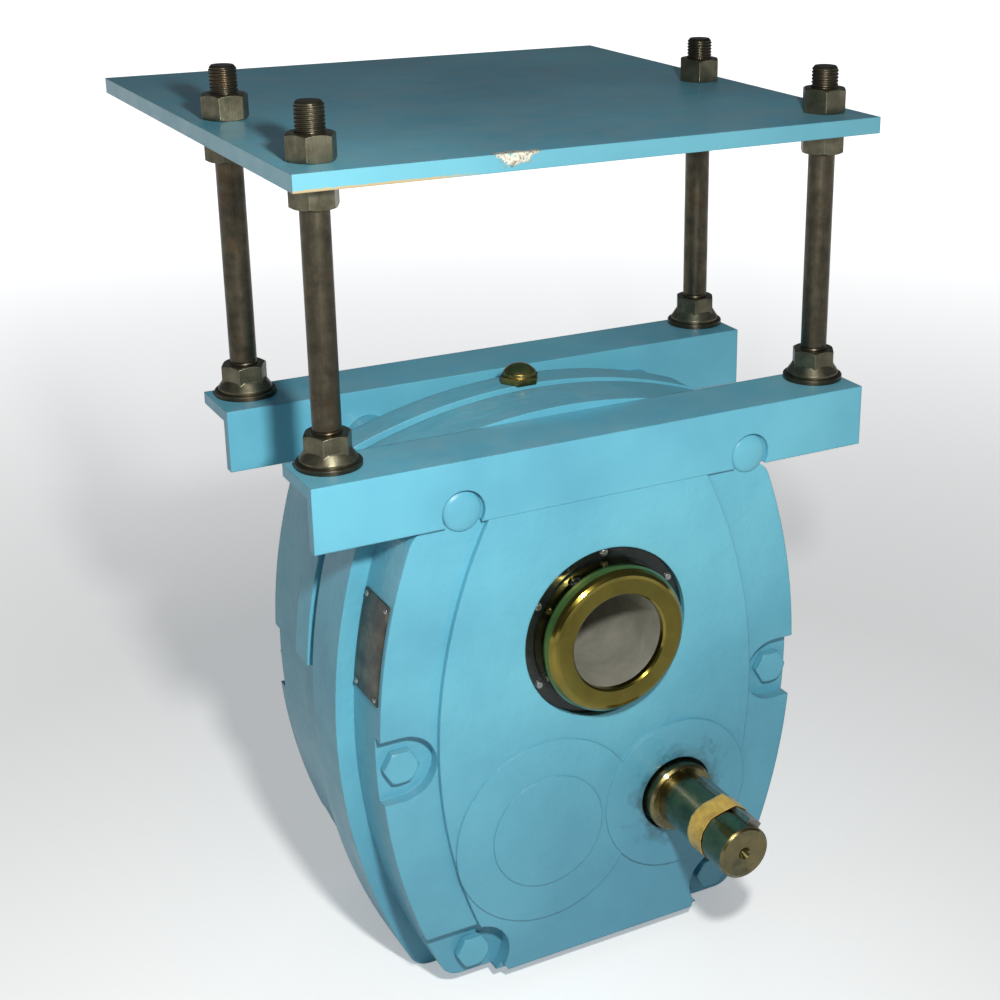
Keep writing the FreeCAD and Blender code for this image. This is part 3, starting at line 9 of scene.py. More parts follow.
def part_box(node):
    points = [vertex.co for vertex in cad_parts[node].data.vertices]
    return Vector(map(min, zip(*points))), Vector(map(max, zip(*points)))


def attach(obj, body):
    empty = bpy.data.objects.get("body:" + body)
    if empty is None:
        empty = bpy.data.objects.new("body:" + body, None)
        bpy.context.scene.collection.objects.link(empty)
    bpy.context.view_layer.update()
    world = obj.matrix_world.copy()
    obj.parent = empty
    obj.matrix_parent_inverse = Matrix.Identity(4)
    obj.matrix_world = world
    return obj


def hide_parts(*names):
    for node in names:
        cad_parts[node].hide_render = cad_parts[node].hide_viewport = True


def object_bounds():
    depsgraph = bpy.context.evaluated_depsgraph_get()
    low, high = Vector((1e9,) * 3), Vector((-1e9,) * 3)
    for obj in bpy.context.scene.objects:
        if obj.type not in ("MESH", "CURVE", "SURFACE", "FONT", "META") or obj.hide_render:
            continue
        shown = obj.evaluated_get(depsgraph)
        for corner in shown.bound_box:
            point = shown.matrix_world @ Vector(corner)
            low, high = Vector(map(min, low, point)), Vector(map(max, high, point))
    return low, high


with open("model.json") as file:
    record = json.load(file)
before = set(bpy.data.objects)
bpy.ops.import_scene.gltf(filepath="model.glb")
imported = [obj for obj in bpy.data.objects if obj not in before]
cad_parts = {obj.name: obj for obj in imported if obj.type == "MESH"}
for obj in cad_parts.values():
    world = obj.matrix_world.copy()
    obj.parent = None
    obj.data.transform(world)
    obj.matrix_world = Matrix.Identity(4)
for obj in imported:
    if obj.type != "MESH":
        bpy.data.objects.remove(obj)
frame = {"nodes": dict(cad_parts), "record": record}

CAD_BOX = [list(corner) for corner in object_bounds()]
FLOOR_LEVEL = CAD_BOX[0][2]
NODES = frame["nodes"]
MM = 0.001

# ---------------------------------------------------------------- places taken from the frame


def centre_of(node):
    """The middle of a node's box."""
    low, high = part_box(node)
    return (low + high) / 2


INPUT_AXIS = centre_of("input_collar")
PLATE_LOW, PLATE_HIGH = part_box("motor_plate")
TAPE_LOW, TAPE_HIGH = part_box("key_tape")
STUDS = ["stud_front_left", "stud_front_right", "stud_rear_left", "stud_rear_right"]

# ---------------------------------------------------------------- material building


class Look:
    """A material in the making: one Principled shader and short calls for what feeds it."""

    def __init__(self, name, **constants):
        self.material = bpy.data.materials.new(name)
        self.material.use_nodes = True
        self.tree = self.material.node_tree
        self.shader = self.tree.nodes["Principled BSDF"]
        for socket, number in constants.items():
            label = socket.replace("_", " ").title().replace("Ior", "IOR")
            self.shader.inputs[label].default_value = number
        self.place = self.add("ShaderNodeTexCoord").outputs["Object"]
        self.geometry = self.add("ShaderNodeNewGeometry")
        self.normal = None

    def add(self, kind, **settings):
        made = self.tree.nodes.new(kind)
        for name, setting in settings.items():
            setattr(made, name, setting)
        return made

    def feed(self, socket, source):
        if isinstance(source, bpy.types.NodeSocket):
            self.tree.links.new(source, socket)
        else:
            socket.default_value = source

    def math(self, operation, first, second=0.0):
        made = self.add("ShaderNodeMath", operation=operation)
        self.feed(made.inputs[0], first)
        self.feed(made.inputs[1], second)
        return made.outputs[0]

    def vector(self, operation, first, second):
        made = self.add("ShaderNodeVectorMath", operation=operation)
        self.feed(made.inputs[0], first)
        self.feed(made.inputs[1], second)
        return made.outputs["Value" if operation in ("DISTANCE", "DOT_PRODUCT") else "Vector"]

    def split(self, vector):
        """A vector's three outputs, named X, Y and Z."""
        made = self.add("ShaderNodeSeparateXYZ")
        self.feed(made.inputs[0], vector)
        return made.outputs

    def line(self, source):
        """A place that runs along X only, as far as the source says."""
        made = self.add("ShaderNodeCombineXYZ")
        self.feed(made.inputs[0], source)
        return made.outputs[0]

    def noise(self, scale, detail=3.0, roughness=0.5, stretch=None, at=None):
        """Grey noise whose grains are about 1 / scale metres, stretched along axes where asked."""
        place = at or self.place
        if stretch:
            place = self.vector("MULTIPLY", place, stretch)
        made = self.add("ShaderNodeTexNoise")
        self.feed(made.inputs["Vector"], place)
        self.feed(made.inputs["Scale"], scale)
        self.feed(made.inputs["Detail"], detail)
        self.feed(made.inputs["Roughness"], roughness)
        return made.outputs["Fac"]

    def cells(self, scale):
        """Distance to the nearest of many scattered spots, for pits."""
        made = self.add("ShaderNodeTexVoronoi", feature="F1")
        self.feed(made.inputs["Vector"], self.place)
        self.feed(made.inputs["Scale"], scale)
        return made.outputs["Distance"]

    def range(self, source, low, high, to_low=0.0, to_high=1.0):
        """The source's stretch from low to high, spread over another stretch and held there."""
        made = self.add("ShaderNodeMapRange")
        for socket, value in zip(made.inputs, (source, low, high, to_low, to_high)):
            self.feed(socket, value)
        return made.outputs[0]

    def blend(self, factor, first, second):
        """From the first colour to the second as the factor goes from 0 to 1."""
        made = self.add("ShaderNodeMix", data_type="RGBA", blend_type="MIX")
        for index, source in ((0, factor), (6, first), (7, second)):
            if index and isinstance(source, tuple):
                source = (*source, 1.0)
            self.feed(made.inputs[index], source)
        return made.outputs[2]

    def shades(self, source, *colours):
        """A ramp through colours at even steps."""
        made = self.add("ShaderNodeValToRGB")
        ramp = made.color_ramp.elements
        steps = len(colours) - 1
        for step in range(1, steps):
            ramp.new(step / steps)
        for point, colour in zip(ramp, colours):
            point.color = (*colour, 1.0)
        self.feed(made.inputs[0], source)
        return made.outputs[0]

    def height(self, source, depth):
        """Adds relief of the given depth in metres."""
        made = self.add("ShaderNodeBump")
        self.feed(made.inputs["Strength"], 1.0)
        self.feed(made.inputs["Distance"], depth)
        self.feed(made.inputs["Height"], source)
        if self.normal:
            self.feed(made.inputs["Normal"], self.normal)
        self.normal = made.outputs[0]

    def soft_edges(self, radius):
        """Rounds the look of sharp edges, and returns how near an edge a spot is, from 0 to 1."""
        made = self.add("ShaderNodeBevel", samples=6)
        self.feed(made.inputs["Radius"], radius)
        self.normal = made.outputs[0]
        turned = self.vector("DOT_PRODUCT", self.normal, self.geometry.outputs["Normal"])
        return self.range(turned, 0.995, 0.75)

    def upward(self):
        """1 on faces that look up, and 0 on steep ones and on those that look down."""
        return self.range(self.split(self.geometry.outputs["Normal"])["Z"], 0.5, 0.95)

    def around(self, x, z):
        """Distance from an axis along Y through (x, z)."""
        flat = self.vector("MULTIPLY", self.place, (1.0, 0.0, 1.0))
        return self.vector("DISTANCE", flat, (x, 0.0, z))

    def finish(self, colour, roughness):
        self.feed(self.shader.inputs["Base Color"], colour)
        self.feed(self.shader.inputs["Roughness"], roughness)
        if self.normal:
            self.feed(self.shader.inputs["Normal"], self.normal)
        return self.material


# ---------------------------------------------------------------- painted iron

PAINT_DEEP = (0.085, 0.315, 0.430)
PAINT = (0.115, 0.400, 0.525)
PAINT_PALE = (0.150, 0.485, 0.605)
PAINT_SHADED = (0.065, 0.200, 0.310)
PRIMER = (0.46, 0.27, 0.06)
BARE_IRON = (0.09, 0.08, 0.07)
DUST = (0.33, 0.38, 0.38)
OIL = (0.020, 0.034, 0.034)
WORN_PRIMER = (0.38, 0.35, 0.28)
PALE_PRIMER = (0.60, 0.58, 0.50)
PAINT_REST = (0.10, 0.28, 0.28)
PAINT_SIDE_SHADE = (0.095, 0.265, 0.300)

EDGE = 1.6 * MM
PLATE_EDGE = 1.2 * MM
LOW_SHADE_RAGGED = 40 * MM
OIL_RAGGED = 14 * MM
OIL_REACH = 44 * MM
OIL_FULL = 26 * MM


def enamel(name, cast, chips=0.0, oiled=False):
    """Turquoise enamel, painted darker towards the bottom as shade. cast, from 0 to 1, is how rough the
    metal under it is and how deep that painted shade is, and chips how much of the edges has lost its
    paint."""
    look = Look(name, coat_weight=0.22, coat_roughness=0.18, specular_ior_level=0.42)
    edge = look.soft_edges(EDGE)
    broad = look.noise(5.0, 4.0, 0.55)
    colour = look.shades(look.range(broad, 0.30, 0.70), PAINT_DEEP, PAINT, PAINT_PALE)
    runs = look.noise(26.0, 4.0, 0.6, (1.0, 1.0, 0.22))
    colour = look.blend(look.range(runs, 0.52, 0.80, 0.0, 0.20), colour, PAINT_PALE)
    specks = look.noise(340.0, 2.0)
    colour = look.blend(look.range(specks, 0.62, 0.80, 0.0, 0.22), colour, PAINT_DEEP)
    worn = look.math("MULTIPLY", edge, look.range(look.noise(70.0, 5.0, 0.65), 0.40, 0.62))
    colour = look.blend(look.math("MULTIPLY", worn, 0.30), colour, PAINT_PALE)
    settled = look.math("MULTIPLY", look.upward(), look.range(look.noise(34.0, 6.0, 0.62), 0.40, 0.74))
    colour = look.blend(look.math("MULTIPLY", settled, 0.32), colour, DUST)
    roughness = look.range(look.noise(48.0, 4.0), 0.25, 0.75, 0.30, 0.46)
    roughness = look.math("ADD", roughness, look.math("MULTIPLY", settled, 0.22))
    if chips:
        flaked = look.math("MULTIPLY", edge, look.range(look.noise(120.0, 6.0, 0.7), 0.60, 0.66))
        least = 0.62 - 0.2 * chips
        patch = look.range(look.noise(9.0, 2.0), least, least + 0.08)
        flaked = look.math("MULTIPLY", flaked, patch)
        bare = look.range(look.noise(420.0, 3.0), 0.45, 0.60)
        colour = look.blend(flaked, colour, look.blend(bare, PRIMER, BARE_IRON))
        look.height(look.math("SUBTRACT", 1.0, flaked), 0.25 * MM)
    # Painted shade: below the middle the paint darkens towards the floor with a ragged edge, more on
    # castings.
    ragged = look.range(broad, 0.3, 0.7, -LOW_SHADE_RAGGED, LOW_SHADE_RAGGED)
    level = look.math("ADD", look.split(look.place)["Z"], ragged)
    low_shade = look.range(level, 0.0, FLOOR_LEVEL, 0.0, 0.40 * cast)
    colour = look.blend(low_shade, colour, PAINT_SHADED)
    if oiled:
        near = look.around(INPUT_AXIS.x, INPUT_AXIS.z)
        ragged = look.range(look.noise(60.0, 5.0, 0.6), 0.3, 0.7, -OIL_RAGGED, OIL_RAGGED)
        film = look.range(look.math("ADD", near, ragged), OIL_REACH, OIL_FULL)
        colour = look.blend(look.math("MULTIPLY", film, 0.62), colour, OIL)
        roughness = look.math("SUBTRACT", roughness, look.math("MULTIPLY", film, 0.18))
    look.height(look.noise(520.0, 2.0), 0.06 * MM)
    look.height(look.noise(95.0, 4.0, 0.55), (0.10 + 0.55 * cast) * MM)
    look.height(look.noise(30.0, 3.0), 0.9 * cast * MM)
    look.height(look.cells(240.0), -0.12 * cast * MM)
    return look.finish(colour, roughness)


PATCH_SHARE = 0.34
PATCH_EDGE = 8.5 * MM
PATCH_FULL = 7.0 * MM
PATCH_RAGGED = 5 * MM
PATCH_SQUEEZE = (0.50, 1.0, 1.25)
PRIMER_LINE_TOP = 2.0 * MM
PRIMER_LINE_FULL = 1.3 * MM
PRIMER_LINE_RAGGED = 0.6 * MM
PRIMER_LINE_END = 130 * MM
PRIMER_LINE_FADES = 95 * MM
PRIMER_LINE_DEPTH = 3 * MM
PRIMER_LINE_DEPTH_FULL = 1 * MM


def plate_enamel():
    """The motor plate's paint. A patch of it has flaked off the front edge, at PATCH_SHARE of the
    width from the left, and a line of primer shows along the left part of the lower front edge."""
    look = Look("plate_enamel", coat_weight=0.22, coat_roughness=0.20, specular_ior_level=0.42)
    edge = look.soft_edges(PLATE_EDGE)
    broad = look.noise(4.0, 4.0, 0.55)
    colour = look.shades(look.range(broad, 0.30, 0.70), PAINT_DEEP, PAINT, PAINT_PALE)
    rolled = look.noise(70.0, 4.0, 0.6, (0.25, 1.0, 1.0))
    colour = look.blend(look.range(rolled, 0.50, 0.80, 0.0, 0.20), colour, PAINT_PALE)
    upward = look.upward()
    settled = look.math("MULTIPLY", upward, look.range(look.noise(22.0, 6.0, 0.62), 0.38, 0.74))
    colour = look.blend(look.math("MULTIPLY", settled, 0.34), colour, DUST)
    # Painted shade: faces that do not look up are painted a duller, darker tone than the top.
    colour = look.blend(look.range(upward, 1.0, 0.0, 0.0, 0.45), colour, PAINT_SIDE_SHADE)
    patch_x = PLATE_LOW.x * (1 - PATCH_SHARE) + PLATE_HIGH.x * PATCH_SHARE
    patch_middle = (patch_x, PLATE_LOW.y, PLATE_HIGH.z - 1 * MM)
    offset = look.vector("SUBTRACT", look.place, patch_middle)
    away = look.vector("DISTANCE", look.vector("MULTIPLY", offset, PATCH_SQUEEZE), (0.0, 0.0, 0.0))
    ragged = look.range(look.noise(150.0, 6.0, 0.7), 0.3, 0.7, -PATCH_RAGGED, PATCH_RAGGED)
    patch = look.range(look.math("ADD", away, ragged), PATCH_EDGE, PATCH_FULL)
    small = look.math("MULTIPLY", edge, look.range(look.noise(130.0, 6.0, 0.7), 0.61, 0.66))
    small = look.math("MULTIPLY", small, look.range(look.noise(11.0, 2.0), 0.50, 0.58))
    flaked = look.math("MAXIMUM", patch, small)
    grain = look.noise(300.0, 4.0, 0.7)
    under = look.shades(look.range(grain, 0.35, 0.65), BARE_IRON, WORN_PRIMER, PALE_PRIMER, PAINT_REST)
    colour = look.blend(flaked, colour, under)
    spot = look.split(look.place)
    ragged = look.range(grain, 0.3, 0.7, -PRIMER_LINE_RAGGED, PRIMER_LINE_RAGGED)
    level = look.math("ADD", spot["Z"], ragged)
    low = look.range(level, PLATE_LOW.z + PRIMER_LINE_TOP, PLATE_LOW.z + PRIMER_LINE_FULL)
    left = look.range(spot["X"], PLATE_LOW.x + PRIMER_LINE_END, PLATE_LOW.x + PRIMER_LINE_FADES)
    front = look.range(spot["Y"], PLATE_LOW.y + PRIMER_LINE_DEPTH, PLATE_LOW.y + PRIMER_LINE_DEPTH_FULL)
    primed = look.math("MULTIPLY", look.math("MULTIPLY", low, left), front)
    colour = look.blend(look.math("MULTIPLY", primed, 0.75), colour, PRIMER)
    roughness = look.range(look.noise(40.0, 4.0), 0.25, 0.75, 0.32, 0.48)
    roughness = look.math("ADD", roughness, look.math("MULTIPLY", flaked, 0.30))
    look.height(look.math("SUBTRACT", 1.0, flaked), 0.30 * MM)
    look.height(look.noise(480.0, 2.0), 0.06 * MM)
    look.height(look.noise(60.0, 4.0, 0.55), 0.22 * MM)
    return look.finish(colour, roughness)


# ---------------------------------------------------------------- metals, tape and rubber

RUST = (0.13, 0.070, 0.030)
UPRIGHT = (1.0, 1.0, 0.06)
LENGTHWISE = (1.0, 0.06, 1.0)


def steel(name, dark, pale, roughness=0.36, streak=UPRIGHT, rust=0.0, edge_highlight=0.5, coat=0.0):
    """Worn steel: mottled, streaked along an axis, with a painted highlight on its edges and some rust
    bloom.
    """
    look = Look(name, metallic=0.92, coat_weight=coat, coat_roughness=0.12)
    edge = look.soft_edges(0.7 * MM)
    mottled = look.noise(90.0, 5.0, 0.6)
    lines = look.noise(900.0, 3.0, 0.6, streak)
    colour = look.shades(look.range(mottled, 0.30, 0.72), dark, pale)
    colour = look.blend(look.range(lines, 0.35, 0.70, 0.0, 0.45), colour, dark)
    if rust:
        bloom = look.range(look.noise(42.0, 6.0, 0.65), 0.56, 0.72, 0.0, rust)
        colour = look.blend(bloom, colour, RUST)
    # Painted highlight: the edges are painted brighter than the steel.
    light = look.math("MULTIPLY", edge, edge_highlight)
    colour = look.blend(light, colour, tuple(min(1.0, 2.2 * part + 0.03) for part in pale))
    rough = look.range(look.noise(60.0, 4.0, 0.6), 0.25, 0.75, roughness - 0.09, roughness + 0.12)
    look.height(lines, 0.05 * MM)
    look.height(mottled, 0.10 * MM)
    return look.finish(colour, rough)


def turned_metal(name, dark, pale, axis, roughness, pitch=0.35 * MM, stains=None, **constants):
    """Metal turned in a lathe: fine rings round an axis along Y, and rings along its length."""
    look = Look(name, **{"metallic": 1.0, "coat_weight": 0.0, "coat_roughness": 0.10, **constants})
    look.soft_edges(0.6 * MM)
    away = look.around(axis.x, axis.z)
    turns = look.math("ADD", away, look.split(look.place)["Y"])
    tool_marks = look.math("SINE", look.math("MULTIPLY", turns, 2 * math.pi / pitch))
    bands = look.noise(700.0, 4.0, 0.65, at=look.line(turns))
    mottled = look.noise(46.0, 5.0, 0.62)
    colour = look.shades(look.range(mottled, 0.28, 0.72), dark, pale)
    colour = look.blend(look.range(bands, 0.38, 0.70, 0.0, 0.35), colour, dark)
    if stains:
        blot = look.range(look.noise(30.0, 5.0, 0.7, (1.0, 0.5, 1.0)), 0.52, 0.66, 0.0, 0.8)
        colour = look.blend(blot, colour, stains)
    rough = look.range(look.noise(80.0, 4.0, 0.6), 0.25, 0.75, roughness - 0.06, roughness + 0.10)
    look.height(tool_marks, 0.006 * MM)
    look.height(bands, 0.03 * MM)
    return look.finish(colour, rough)


GOLD_DEEP = (0.16, 0.130, 0.018)
GOLD = (0.25, 0.200, 0.032)
GOLD_PINK = (0.19, 0.125, 0.024)
GOLD_GREEN = (0.13, 0.150, 0.028)
GOLD_PALE = (0.22, 0.180, 0.040)


def plating():
    """Yellow passivated zinc: gold with faint green and pink tints and fine turning rings."""
    look = Look("hub_plating", metallic=1.0, coat_weight=0.35, coat_roughness=0.06)
    look.soft_edges(0.8 * MM)
    away = look.around(0.0, 0.0)
    tint = look.noise(16.0, 4.0, 0.55)
    colour = look.shades(look.range(tint, 0.30, 0.70), GOLD_DEEP, GOLD, GOLD_PINK)
    greenish = look.range(look.noise(28.0, 3.0), 0.50, 0.75, 0.0, 0.45)
    colour = look.blend(greenish, colour, GOLD_GREEN)
    bands = look.noise(1100.0, 4.0, 0.7, at=look.line(away))
    colour = look.blend(look.range(bands, 0.40, 0.70, 0.0, 0.22), colour, GOLD_PALE)
    rough = look.range(look.noise(55.0, 4.0, 0.6), 0.25, 0.75, 0.10, 0.22)
    look.height(bands, 0.025 * MM)
    look.height(look.noise(140.0, 3.0), 0.04 * MM)
    return look.finish(colour, rough)


BLACK_DEEP = (0.006, 0.010, 0.010)
BLACK = (0.022, 0.032, 0.031)
BLACK_DUST = (0.07, 0.09, 0.085)


def oily_black():
    """Black steel under an oil film, with dust caught in the oil."""
    look = Look("oily_black", metallic=0.55, coat_weight=0.6, coat_roughness=0.08)
    look.soft_edges(0.8 * MM)
    mottled = look.noise(70.0, 5.0, 0.65)
    colour = look.shades(look.range(mottled, 0.30, 0.72), BLACK_DEEP, BLACK)
    dust = look.range(look.noise(260.0, 5.0, 0.7), 0.60, 0.74, 0.0, 0.30)
    colour = look.blend(dust, colour, BLACK_DUST)
    look.height(mottled, 0.10 * MM)
    look.height(look.noise(400.0, 3.0), 0.04 * MM)
    return look.finish(colour, look.range(mottled, 0.3, 0.7, 0.22, 0.42))


TAPE_DEEP = (0.42, 0.25, 0.045)
TAPE = (0.62, 0.40, 0.080)
TAPE_PALE = (0.70, 0.48, 0.130)
TAPE_CREASE_SHADE = (0.34, 0.20, 0.04)
TAPE_SOAKED = (0.20, 0.13, 0.035)


def masking_tape():
    """Ochre crepe paper: fine creases across the band with painted shade in them, fibres, and oil soaked
    in at the edges.
    """
    look = Look("crepe_tape", specular_ior_level=0.3, sheen_weight=0.15)
    crepe = look.noise(520.0, 3.0, 0.6, (1.0, 0.18, 1.0))
    broad = look.noise(60.0, 5.0, 0.6)
    colour = look.shades(look.range(broad, 0.30, 0.72), TAPE_DEEP, TAPE, TAPE_PALE)
    # Painted shade: the crepe creases are painted darker.
    colour = look.blend(look.range(crepe, 0.40, 0.68, 0.0, 0.40), colour, TAPE_CREASE_SHADE)
    soaked = look.range(look.noise(34.0, 4.0, 0.6), 0.54, 0.68, 0.0, 0.55)
    colour = look.blend(soaked, colour, TAPE_SOAKED)
    look.height(crepe, 0.22 * MM)
    look.height(look.noise(1500.0, 2.0), 0.04 * MM)
    return look.finish(colour, look.range(broad, 0.3, 0.7, 0.58, 0.80))


def dull(name, dark, pale, roughness, grain, depth):
    """A quiet surface, rubber or joint sheet, with its own grain."""
    look = Look(name, specular_ior_level=0.35)
    look.soft_edges(0.5 * MM)
    mottled = look.noise(grain / 6, 5.0, 0.6)
    colour = look.shades(look.range(mottled, 0.30, 0.72), dark, pale)
    look.height(look.noise(grain, 3.0, 0.6), depth)
    return look.finish(colour, look.range(mottled, 0.3, 0.7, roughness - 0.08, roughness + 0.08))


BROWN_DEEP = (0.035, 0.026, 0.018)
BROWN = (0.065, 0.050, 0.034)
BROWN_PALE = (0.15, 0.12, 0.075)
BROWN_SCUFF = (0.20, 0.19, 0.14)


def blank_plate():
    """The dark brown plate on the casing's side, scuffed and varnished, with nothing on it."""
    look = Look("blank_plate", metallic=0.55, coat_weight=0.3, coat_roughness=0.25)
    look.soft_edges(0.5 * MM)
    patches = look.noise(42.0, 3.0, 0.5, (1.0, 1.0, 1.4))
    colour = look.shades(look.range(patches, 0.34, 0.68), BROWN_DEEP, BROWN, BROWN_PALE)
    scuffs = look.noise(240.0, 5.0, 0.7, (1.0, 1.0, 0.25))
    colour = look.blend(look.range(scuffs, 0.56, 0.72, 0.0, 0.5), colour, BROWN_SCUFF)
    look.height(scuffs, 0.07 * MM)
    look.height(patches, 0.12 * MM)
    return look.finish(colour, look.range(scuffs, 0.3, 0.7, 0.34, 0.58))


ORIGIN = Vector((0, 0, 0))
LOOKS = {
    "blue_enamel": enamel("casting_enamel", cast=1.0),
    "stud_steel": steel(
        "stud_steel", (0.050, 0.044, 0.030), (0.125, 0.108, 0.075), rust=0.45, edge_highlight=0.45
    ),
    "shaft_steel": turned_metal(
        "shaft_steel", (0.105, 0.090, 0.036), (0.26, 0.210, 0.080), INPUT_AXIS, 0.27,
        stains=(0.050, 0.060, 0.034), coat_weight=0.7,
    ),
    "bore_steel": turned_metal(
        "bore_steel", (0.31, 0.305, 0.25), (0.50, 0.49, 0.42), ORIGIN, 0.42, pitch=0.5 * MM, metallic=0.4
    ),
    "hub_gold": plating(),
    "seal_black": oily_black(),
    "screw_zinc": steel("screw_zinc", (0.30, 0.31, 0.30), (0.55, 0.57, 0.56), 0.28),
    "breather_brass": turned_metal(
        "breather_brass", (0.20, 0.14, 0.035), (0.46, 0.34, 0.12), centre_of("breather_plug"), 0.30,
        stains=(0.09, 0.075, 0.035),
    ),
    "key_tape": masking_tape(),
    "key_steel": steel(
        "key_steel", (0.20, 0.19, 0.16), (0.42, 0.41, 0.38), 0.32, streak=LENGTHWISE, rust=0.15
    ),
    "plate_brown": blank_plate(),
    "gear_steel": steel(
        "gear_steel", (0.17, 0.17, 0.18), (0.36, 0.36, 0.37), 0.26, streak=LENGTHWISE, coat=0.5
    ),
    "bearing_steel": turned_metal(
        "bearing_steel", (0.46, 0.46, 0.47), (0.62, 0.62, 0.63), ORIGIN, 0.14
    ),
    "cage_steel": turned_metal("cage_brass", (0.38, 0.27, 0.07), (0.60, 0.46, 0.17), ORIGIN, 0.25),
    "seal_rubber": dull(
        "seal_rubber", (0.010, 0.010, 0.010), (0.032, 0.032, 0.030), 0.55, grain=420.0, depth=0.06 * MM
    ),
    "gasket_paper": dull(
        "joint_sheet", (0.008, 0.008, 0.008), (0.030, 0.030, 0.028), 0.75, grain=300.0, depth=0.10 * MM
    ),
}
RAIL_ENAMEL = enamel("rail_enamel", cast=0.12, chips=0.45)
OILED_ENAMEL = enamel("oiled_casting_enamel", cast=1.0, chips=0.15, oiled=True)
FASTENER_ENAMEL = enamel("fastener_enamel", cast=0.25, chips=0.9)
NUT_STEEL = steel("nut_steel", (0.090, 0.084, 0.054), (0.225, 0.210, 0.145), rust=0.25)
OWN_LOOKS = {
    "rail_nuts": NUT_STEEL,
    "rail_under_nuts": NUT_STEEL,
    "plate_upper_nuts": NUT_STEEL,
    "plate_lower_nuts": NUT_STEEL,
    "motor_plate": plate_enamel(),
    "front_casing": OILED_ENAMEL,
    "front_rail": RAIL_ENAMEL,
    "rear_rail": RAIL_ENAMEL,
    "casing_bolts": FASTENER_ENAMEL,
    "casing_nuts": FASTENER_ENAMEL,
    "rail_clamp_bolts": FASTENER_ENAMEL,
    "rail_clamp_nuts": FASTENER_ENAMEL,
    "rear_cover_screws": FASTENER_ENAMEL,
    "drain_plug": FASTENER_ENAMEL,
    "level_plug": FASTENER_ENAMEL,
}

SMOOTH_ANGLE = math.radians(24)


def smooth(piece):
    """Curved faces shade smoothly, and real edges stay sharp."""
    piece.data.shade_smooth()
    piece.data.set_sharp_from_angle(angle=SMOOTH_ANGLE)


def dress(piece, material):
    piece.data.materials.clear()
    piece.data.materials.append(material)


SLOT_OF = {entry["node"]: entry["material_slot"] for entry in frame["record"]["subparts"]}
for node, piece in NODES.items():
    dress(piece, OWN_LOOKS.get(node, LOOKS[SLOT_OF[node]]))
    smooth(piece)

# ---------------------------------------------------------------- pieces made here


def piece_from(name, points, faces, body, material, stands_for):
    """A new mesh piece that rides a body and stands for a CAD node. Its points are in the frame."""
    mesh = bpy.data.meshes.new(name)
    mesh.from_pydata(points, [], faces)
    mesh.validate()
    piece = bpy.data.objects.new(name, mesh)
    bpy.context.scene.collection.objects.link(piece)
    dress(piece, material)
    smooth(piece)
    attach(piece, body)
    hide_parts(stands_for)
    return piece


def eased(amount):
    """A smooth step from 0 to 1."""
    amount = min(max(amount, 0.0), 1.0)
    return amount * amount * (3 - 2 * amount)


THREAD_PITCH = 2.5 * MM
THREAD_DEPTH = 1.0 * MM
THREAD_TOP = 62 * MM
THREAD_FOOT = 64 * MM
ROD_SIDES = 56
FINE_ROW = THREAD_PITCH / 8
COARSE_ROW = 12 * MM
TIP_CHAMFER = 2 * MM
TIP_SLOPE = 0.8


def rod_levels(low, high):
    """Heights of a stud's rings: close together along its two threads and far apart between."""
    foot_end = low + THREAD_FOOT
    top_start = high - THREAD_TOP
    levels = [low]
    for finish, step in ((foot_end, FINE_ROW), (top_start, COARSE_ROW), (high, FINE_ROW)):
        rows = math.ceil((finish - levels[-1]) / step)
        start = levels[-1]
        levels += [start + (finish - start) * row / rows for row in range(1, rows + 1)]
    return levels


def threaded_stud(name, node):
    """A smooth rod with a cut helical thread at each end and chamfered tips."""
    low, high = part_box(node)
    middle = (low + high) / 2
    radius = (high.x - low.x) / 2
    levels = rod_levels(low.z, high.z)
    points = []
    for level in levels:
        into_thread = max(level - high.z + THREAD_TOP, low.z + THREAD_FOOT - level)
        cut = eased(into_thread / (2 * THREAD_PITCH))
        top_limit = radius - TIP_CHAMFER + (high.z - level) * TIP_SLOPE
        foot_limit = radius - TIP_CHAMFER + (level - low.z)
        limit = min(radius, top_limit, foot_limit)
        for side in range(ROD_SIDES):
            share = side / ROD_SIDES
            phase = ((level - low.z) / THREAD_PITCH - share) % 1.0
            groove = max(0.0, abs(2 * phase - 1) * 1.25 - 0.25)
            reach = min(radius - THREAD_DEPTH * groove * cut, limit)
            turn = 2 * math.pi * share
            points.append((middle.x + reach * math.cos(turn), middle.y + reach * math.sin(turn), level))
    faces = []
    for row in range(len(levels) - 1):
        for side in range(ROD_SIDES):
            after = (side + 1) % ROD_SIDES
            here = row * ROD_SIDES
            faces.append((here + side, here + after, here + ROD_SIDES + after, here + ROD_SIDES + side))
    faces.append(tuple(reversed(range(ROD_SIDES))))
    top = (len(levels) - 1) * ROD_SIDES
    faces.append(tuple(range(top, top + ROD_SIDES)))
    return piece_from(name, points, faces, "casing", LOOKS["stud_steel"], node)


for stud in STUDS:
    threaded_stud(f"threaded_{stud}", stud)

TAPE_SIDES = 240
TAPE_LAP_SIDES = 30
TAPE_ROWS = 14
TAPE_SKIN = 0.35 * MM
TAPE_START = math.radians(300)
CLIMB_START = TAPE_SIDES - 12
CLIMB_SIDES = 8
CLIMB = 0.22 * MM
KEY_ANGLE = math.radians(35)
KEY_HALF_WIDTH = 6.1 * MM
KEY_TOP = 24.1 * MM
SHAFT_RADIUS = 21.06 * MM


def wrap_radius(turn):
    """How far out the tape lies at an angle from the key's middle: round the shaft, then
    straight to the key's corners and flat across its top."""
    corner_turn = math.atan2(KEY_HALF_WIDTH, KEY_TOP)
    corner_reach = math.hypot(KEY_HALF_WIDTH, KEY_TOP)
    leaves = corner_turn + math.acos(SHAFT_RADIUS / corner_reach)
    turn = abs((turn + math.pi) % (2 * math.pi) - math.pi)
    if turn < corner_turn:
        return KEY_TOP / math.cos(turn)
    if turn < leaves:
        return SHAFT_RADIUS / math.cos(leaves - turn)
    return SHAFT_RADIUS


